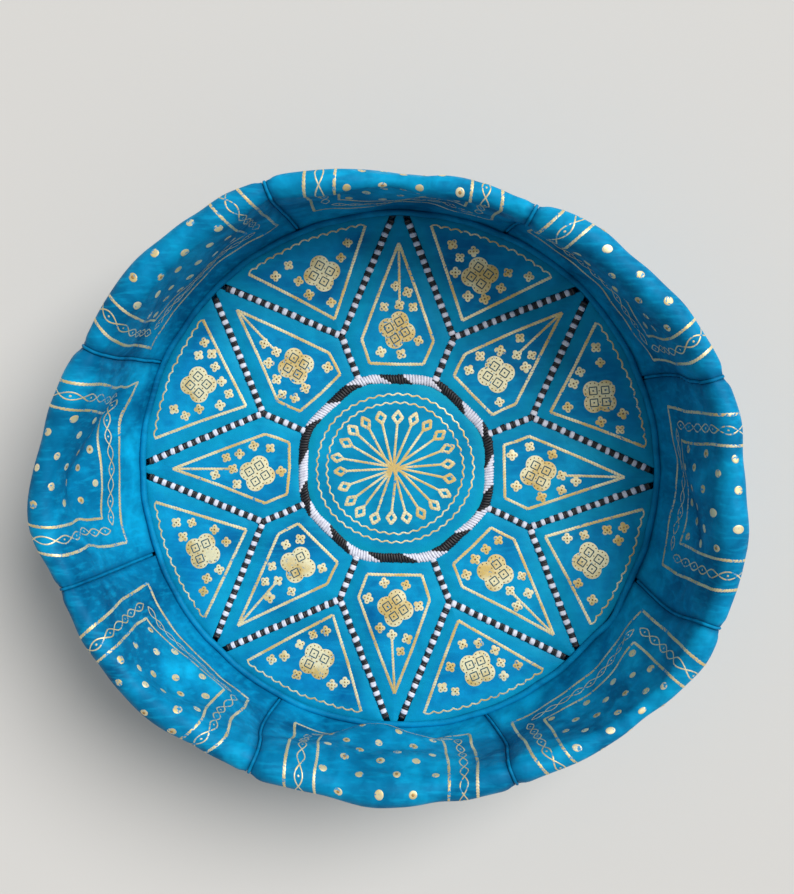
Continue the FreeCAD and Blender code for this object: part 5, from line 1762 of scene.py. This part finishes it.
# %% Side gilding
FRAME_HALVES = (63.0, 70.0, 70.0, 70.0, 67.0, 63.0, 72.0, 70.0)
FRAME_START = 28.0
FRAME_DEPTH = 22.0
FRAME_WIDTH = 2.2
INNER_SHARE = 0.9
CHAIN_GAP = 4.0
DOT_STEP = (27.0, 15.0)
DOT_RADIUS = 3.05
DOT_EYE = 1.15
DOT_EYE_CHANCE = 0.3
DOT_SLIP = 1.3
FRAME_SLIP = 0.8
DOT_MARGINS = (5, 7, 6)
FIRST_DOT = 3


def gild_panel(pile, lay, length, frame_half):
    """Draws one panel's gold and gives the number of its dots."""
    top = length - FRAME_START
    for inset, width in ((0, FRAME_WIDTH), (FRAME_DEPTH, FRAME_WIDTH * INNER_SHARE)):
        half, low, high = frame_half - inset, FRAME_START + inset, top - inset
        outline = hand_shift([(-half, low), (half, low), (half, high), (-half, high)], FRAME_SLIP)
        for first, second in zip(outline, np.roll(outline, -1, axis=0)):
            frame_side(pile, lay, first, second, width)
    half = frame_half - FRAME_DEPTH / 2
    low, high = FRAME_START + FRAME_DEPTH / 2, top - FRAME_DEPTH / 2
    end, bottom, summit = half - CHAIN_GAP, low + CHAIN_GAP, high - CHAIN_GAP
    chain_side(pile, lay, (-end, low), (end, low), LINK_LENGTH)
    chain_side(pile, lay, (end, high), (-end, high), LINK_LENGTH)
    chain_side(pile, lay, (half, bottom), (half, summit), UPRIGHT_LINK)
    chain_side(pile, lay, (-half, summit), (-half, bottom), UPRIGHT_LINK)
    dots = 0
    inner = frame_half - FRAME_DEPTH - DOT_MARGINS[0]
    low, high = FRAME_START + FRAME_DEPTH + DOT_MARGINS[1], top - FRAME_DEPTH - DOT_MARGINS[2]
    for row, v in enumerate(np.arange(low, high, DOT_STEP[1])):
        shift = DOT_STEP[0] / 2 if row % 2 else 0
        for u in np.arange(-inner + FIRST_DOT + shift, inner, DOT_STEP[0]):
            spot = np.array([u, v]) + rng.normal(0, DOT_SLIP, 2)
            outline = circle_outline(DOT_RADIUS * rng.uniform(0.9, 1.1), 18)
            foil_plate(pile, lay, spot, outline, rings=5)
            if rng.random() < DOT_EYE_CHANCE:
                foil_plate(pile, lay, spot, circle_outline(DOT_EYE, 12), TAN, ON_FOIL)
            dots += 1
    return dots


dots = 0
for number, panel in enumerate(panels):
    pile = Pile()
    dots += gild_panel(pile, panel_lay(panel), float(panel[2][-1]), FRAME_HALVES[number])
    add_piece(f"side_gilding_{number + 1}", pile, WALL_GILDING)
print("dots on the sides:", dots)

# %% [markdown]
# ## The base
# Two half discs of the same leather close the underside, joined by the zip. They are seen only from
# below, so they are plain, but they have the slack waves of hide. A disc with a slot cut out by a
# boolean would leave long thin faces, so each half is a grid whose rows run from the zip's opening to
# the round edge.

# %% Base leather
BASE_LEVEL = 8.0
BASE_FLAT = 190.0
BASE_EDGE = (204.1, 4.15)
SLOT_HALF_LENGTH = 146.0
SLOT_HALF_WIDTH = 6.2
SEAM_GAP = 0.15
BASE_ROWS = 34


def base_height(x, y):
    """The underside's height: flat, then down to the piping, a little slack."""
    reach = np.hypot(x, y)
    slope = np.clip((reach - BASE_FLAT) / (BASE_EDGE[0] - BASE_FLAT), 0, 1)
    near_slot = np.exp(-(np.maximum(np.abs(y) - SLOT_HALF_WIDTH, 0) / 25) ** 2)
    slack = soft_swell(y, x) * (1 - slope) * (1 - near_slot)
    return BASE_LEVEL + (BASE_EDGE[1] - BASE_LEVEL) * slope + slack


columns_x = BASE_EDGE[0] * np.cos(np.linspace(math.radians(1), math.pi - math.radians(1), 110))
slot_ends = SLOT_HALF_LENGTH + np.array([0.4, 0.0])
columns_x = np.sort(np.concatenate([columns_x, slot_ends, -slot_ends]))
for half, sign in (("front", -1), ("back", 1)):
    inner = np.where(np.abs(columns_x) <= SLOT_HALF_LENGTH, SLOT_HALF_WIDTH, SEAM_GAP)
    outer = np.sqrt(BASE_EDGE[0] ** 2 - columns_x ** 2)
    share = np.sin(np.linspace(0, math.pi / 2, BASE_ROWS))
    y = sign * (inner + (outer - inner) * share[:, None])
    x = np.broadcast_to(columns_x, y.shape)
    under = np.stack([x, y, base_height(x, y)], axis=-1)
    above = under + np.array([0, 0, HIDE])
    pile = Pile()
    # The mark is painted shade along the base's round edge, by the piping.
    closed_sheet(pile, under, above, painted_seam_shade(outer - np.abs(y)))
    add_piece(f"base_leather_{half}", pile, [wall_leather], [f"base_half_{half}"])
print("base level", BASE_LEVEL)

# %% [markdown]
# ## Piping round the base
# A thicker piping closes the lower edge, and the cover stands on it, so its underside is pressed flat.
# It is made as the top one is: a round section that goes round the base and is a little uneven.

# %% Base piping
BASE_RING = 207.0
BASE_PIPING_RADIUS = 3.0
BASE_PIPING_LEVEL = 2.5
angles = np.linspace(0, FULL_TURN, PIPING_STATIONS, endpoint=False)
outward, along = round_the_middle(angles)
ups = upright_like(outward)
section = np.linspace(0, FULL_TURN, 16, endpoint=False)
plump = 1 + 0.02 * np.sin(37 * angles + 1) + 0.02 * np.sin(61 * angles)
across = BASE_PIPING_RADIUS * np.cos(section) * plump[:, None]
high = np.maximum(BASE_PIPING_RADIUS * np.sin(section) * plump[:, None], -BASE_PIPING_LEVEL)
centres = outward * BASE_RING + ups * BASE_PIPING_LEVEL
pile = Pile()
sweep(pile, centres, outward, ups, across, high, ring=True)
add_piece("base_piping_leather", pile, [piping_leather], ["base_piping"])
print("base piping ring", BASE_RING)

# %% [markdown]
# ## Zip cloth and nylon
# A nylon coil zip opens the base for the filling. Its tape is twill, whose slanting ribs a wave texture
# gives, and its coil is dyed nylon, smoother and a little shiny. Both are darker than the leather, as
# dyed cloth often is.

# %% Zip finishes
def woven_cloth(name, dark, light):
    """Twill tape: fine slanting ribs."""
    material, tree, surface, place = start_material(name)
    rib = tree.nodes.new("ShaderNodeTexWave")
    rib.bands_direction = "DIAGONAL"
    rib.inputs["Scale"].default_value = 420
    rib.inputs["Distortion"].default_value = 1.2
    tree.links.new(place, rib.inputs["Vector"])
    tree.links.new(ramp(tree, rib.outputs["Fac"], (0.2, dark), (0.8, light)), surface.inputs["Base Color"])
    surface.inputs["Roughness"].default_value = 0.85
    surface.inputs["Sheen Weight"].default_value = 0.3
    tree.links.new(bump(tree, rib.outputs["Fac"], 0.5, 0.0003), surface.inputs["Normal"])
    return material


def nylon(name, dark, light):
    """Dyed nylon filament: satin, slightly uneven."""
    material, tree, surface, place = start_material(name)
    tone = ramp(tree, noise(tree, place, 500), (0.3, dark), (0.7, light))
    tree.links.new(tone, surface.inputs["Base Color"])
    tree.links.new(span(tree, noise(tree, place, 900), 0.3, 0.45), surface.inputs["Roughness"])
    return material


tape_cloth = woven_cloth("zip_cloth", (0.004, 0.05, 0.085, 1), (0.008, 0.10, 0.16, 1))
coil_nylon = nylon("zip_nylon", (0.004, 0.06, 0.10, 1), (0.008, 0.11, 0.17, 1))
print("zip finishes:", tape_cloth.name, coil_nylon.name)

# %% [markdown]
# ## Zip tape
# Each side's coil is sewn to a strip of tape, which lies inside the base leather and shows in its
# opening. It is a thin skin with a slight ripple along its free edge; a flat box would look like card.

# %% Zip tape
TAPE_NEAR = 1.0
TAPE_FAR = 21.0
TAPE_HALF_LENGTH = 152.0
TAPE_LEVEL = 9.8
TAPE_THICKNESS = 0.6
TAPE_EASE = 0.1


def add_tape(half, sign):
    """One strip of tape, on the front or the back side of the zip."""
    x = np.linspace(-TAPE_HALF_LENGTH, TAPE_HALF_LENGTH, 160)
    grid_y, grid_x = np.meshgrid(np.linspace(TAPE_NEAR, TAPE_FAR, 12), x, indexing="ij")
    ripple = 0.08 * np.sin(grid_x / 7) * (grid_y - TAPE_NEAR) / (TAPE_FAR - TAPE_NEAR)
    under = np.stack([grid_x, sign * grid_y, TAPE_LEVEL + TAPE_EASE + ripple], axis=-1)
    pile = Pile()
    closed_sheet(pile, under, under + np.array([0, 0, TAPE_THICKNESS - 2 * TAPE_EASE]))
    add_piece(f"zip_cloth_{half}", pile, [tape_cloth], [f"zip_tape_{half}"])


print("tape:", 2 * TAPE_HALF_LENGTH, "mm long")

# %% [markdown]
# ## Zip coil
# The teeth of this zip are one bent filament for each side, wound in flat loops; the loops of the two
# sides stand half a pitch apart, so that they lock. At this size a smooth bar would not read as a zip,
# so the wire is really wound, as a helix whose loops are oval.

# %% Zip coil
COIL_HALF_LENGTH = 136.5
COIL_PITCH = 1.9
COIL_WIRE = 0.34
COIL_Y = (1.15, 3.25)
COIL_Z = (7.75, 9.4)
COIL_STEPS = 12
COIL_LOOPS = int(2 * COIL_HALF_LENGTH / COIL_PITCH)


def add_coil(half, sign):
    """One side's filament; the front one is wound half a loop ahead."""
    turn = np.linspace(0, FULL_TURN * COIL_LOOPS, COIL_LOOPS * COIL_STEPS + 1)
    shift = 0 if sign > 0 else COIL_PITCH / 2
    wound = turn + shift * FULL_TURN / COIL_PITCH
    x = np.linspace(-COIL_HALF_LENGTH, COIL_HALF_LENGTH, len(turn))
    y = sign * (sum(COIL_Y) / 2 + (COIL_Y[1] - COIL_Y[0]) / 2 * np.cos(wound))
    z = sum(COIL_Z) / 2 + (COIL_Z[1] - COIL_Z[0]) / 2 * np.sin(wound)
    centres = np.stack([x, y, z], axis=1)
    course = np.gradient(centres, axis=0)
    course /= np.linalg.norm(course, axis=1, keepdims=True)
    sides = np.cross(course, np.array([1.0, 0, 0]))
    sides /= np.linalg.norm(sides, axis=1, keepdims=True)
    ups = np.cross(sides, course)
    section = np.linspace(0, FULL_TURN, 6, endpoint=False)
    pile = Pile()
    sweep(pile, centres, sides, ups, COIL_WIRE * np.cos(section), COIL_WIRE * np.sin(section))
    add_piece(f"zip_filament_{half}", pile, [coil_nylon], [f"zip_coil_{half}"])


for half, sign in (("front", -1), ("back", 1)):
    add_tape(half, sign)
    add_coil(half, sign)
print("coil loops on each side:", COIL_LOOPS)

# %% [markdown]
# ## Zip stitches
# A row of stitches on each side holds the zip to the base leather. A dashed line in the material would
# lie flat, so each stitch is a short thread, thinner at its ends, where it goes down into the leather.

# %% Zip stitches
STITCH_PITCH = 4.2
STITCH_HALF = 1.55
STITCH_RADIUS = 0.42
STITCH_LINE = 9.4
STITCH_SINK = 0.28
STITCH_MARGINS = (3, 2)
thread = laced_leather("sewing_thread", (0.002, 0.10, 0.20, 1), (0.004, 0.17, 0.30, 1))
pile = Pile()
stations = np.linspace(-1, 1, 7)
thickness = STITCH_RADIUS * np.sqrt(np.maximum(1 - 0.9 * stations ** 4, 0.05))
section = np.linspace(0, FULL_TURN, 8, endpoint=False)
for sign in (-1, 1):
    first, last = -SLOT_HALF_LENGTH + STITCH_MARGINS[0], SLOT_HALF_LENGTH - STITCH_MARGINS[1]
    for x in np.arange(first, last, STITCH_PITCH):
        level = float(base_height(np.array(x), np.array(sign * STITCH_LINE)))
        line = np.full_like(stations, sign * STITCH_LINE)
        high = level - STITCH_SINK * (1 - stations ** 2)
        centres = np.stack([x + STITCH_HALF * stations, line, high], axis=1)
        sides = np.broadcast_to(np.array([0, 1.0, 0]), centres.shape)
        sweep(pile, centres, sides, upright_like(centres), thickness[:, None] * np.cos(section),
              thickness[:, None] * np.sin(section))
add_piece("zip_stitches", pile, [thread])
print("stitch rows at", STITCH_LINE, "mm from the middle")

# %% [markdown]
# ## Zip metal
# The slider, its pull and the end stops are small castings of brass, browned with age. Their shapes
# come from the construction, which already has them with every edge, so they only get a finish: a
# stained metal, rougher in the dark places and smoother where hands rub it.

# %% Zip metal
BRASS_BROWN = (0.20, 0.12, 0.045, 1)
BRASS_DULL = (0.46, 0.31, 0.12, 1)
BRASS_BRIGHT = (0.62, 0.46, 0.20, 1)


def aged_brass(name):
    """Cast brass, browned in the hollows and rubbed bright on the edges."""
    material, tree, surface, place = start_material(name)
    stain = noise(tree, place, 260, detail=6, distortion=0.4)
    tone = ramp(tree, stain, (0.32, BRASS_BROWN), (0.5, BRASS_DULL), (0.7, BRASS_BRIGHT))
    tree.links.new(tone, surface.inputs["Base Color"])
    surface.inputs["Metallic"].default_value = 1.0
    tree.links.new(span(tree, stain, 0.5, 0.28), surface.inputs["Roughness"])
    tree.links.new(bump(tree, noise(tree, place, 1400, detail=3), 0.12, 0.0002), surface.inputs["Normal"])
    return material


brass = aged_brass("aged_brass")
for name in ("zip_slider", "zip_pull", "zip_stops"):
    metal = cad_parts[name]
    metal.data.materials.clear()
    metal.data.materials.append(brass)
print("brass on the slider, pull and stops")
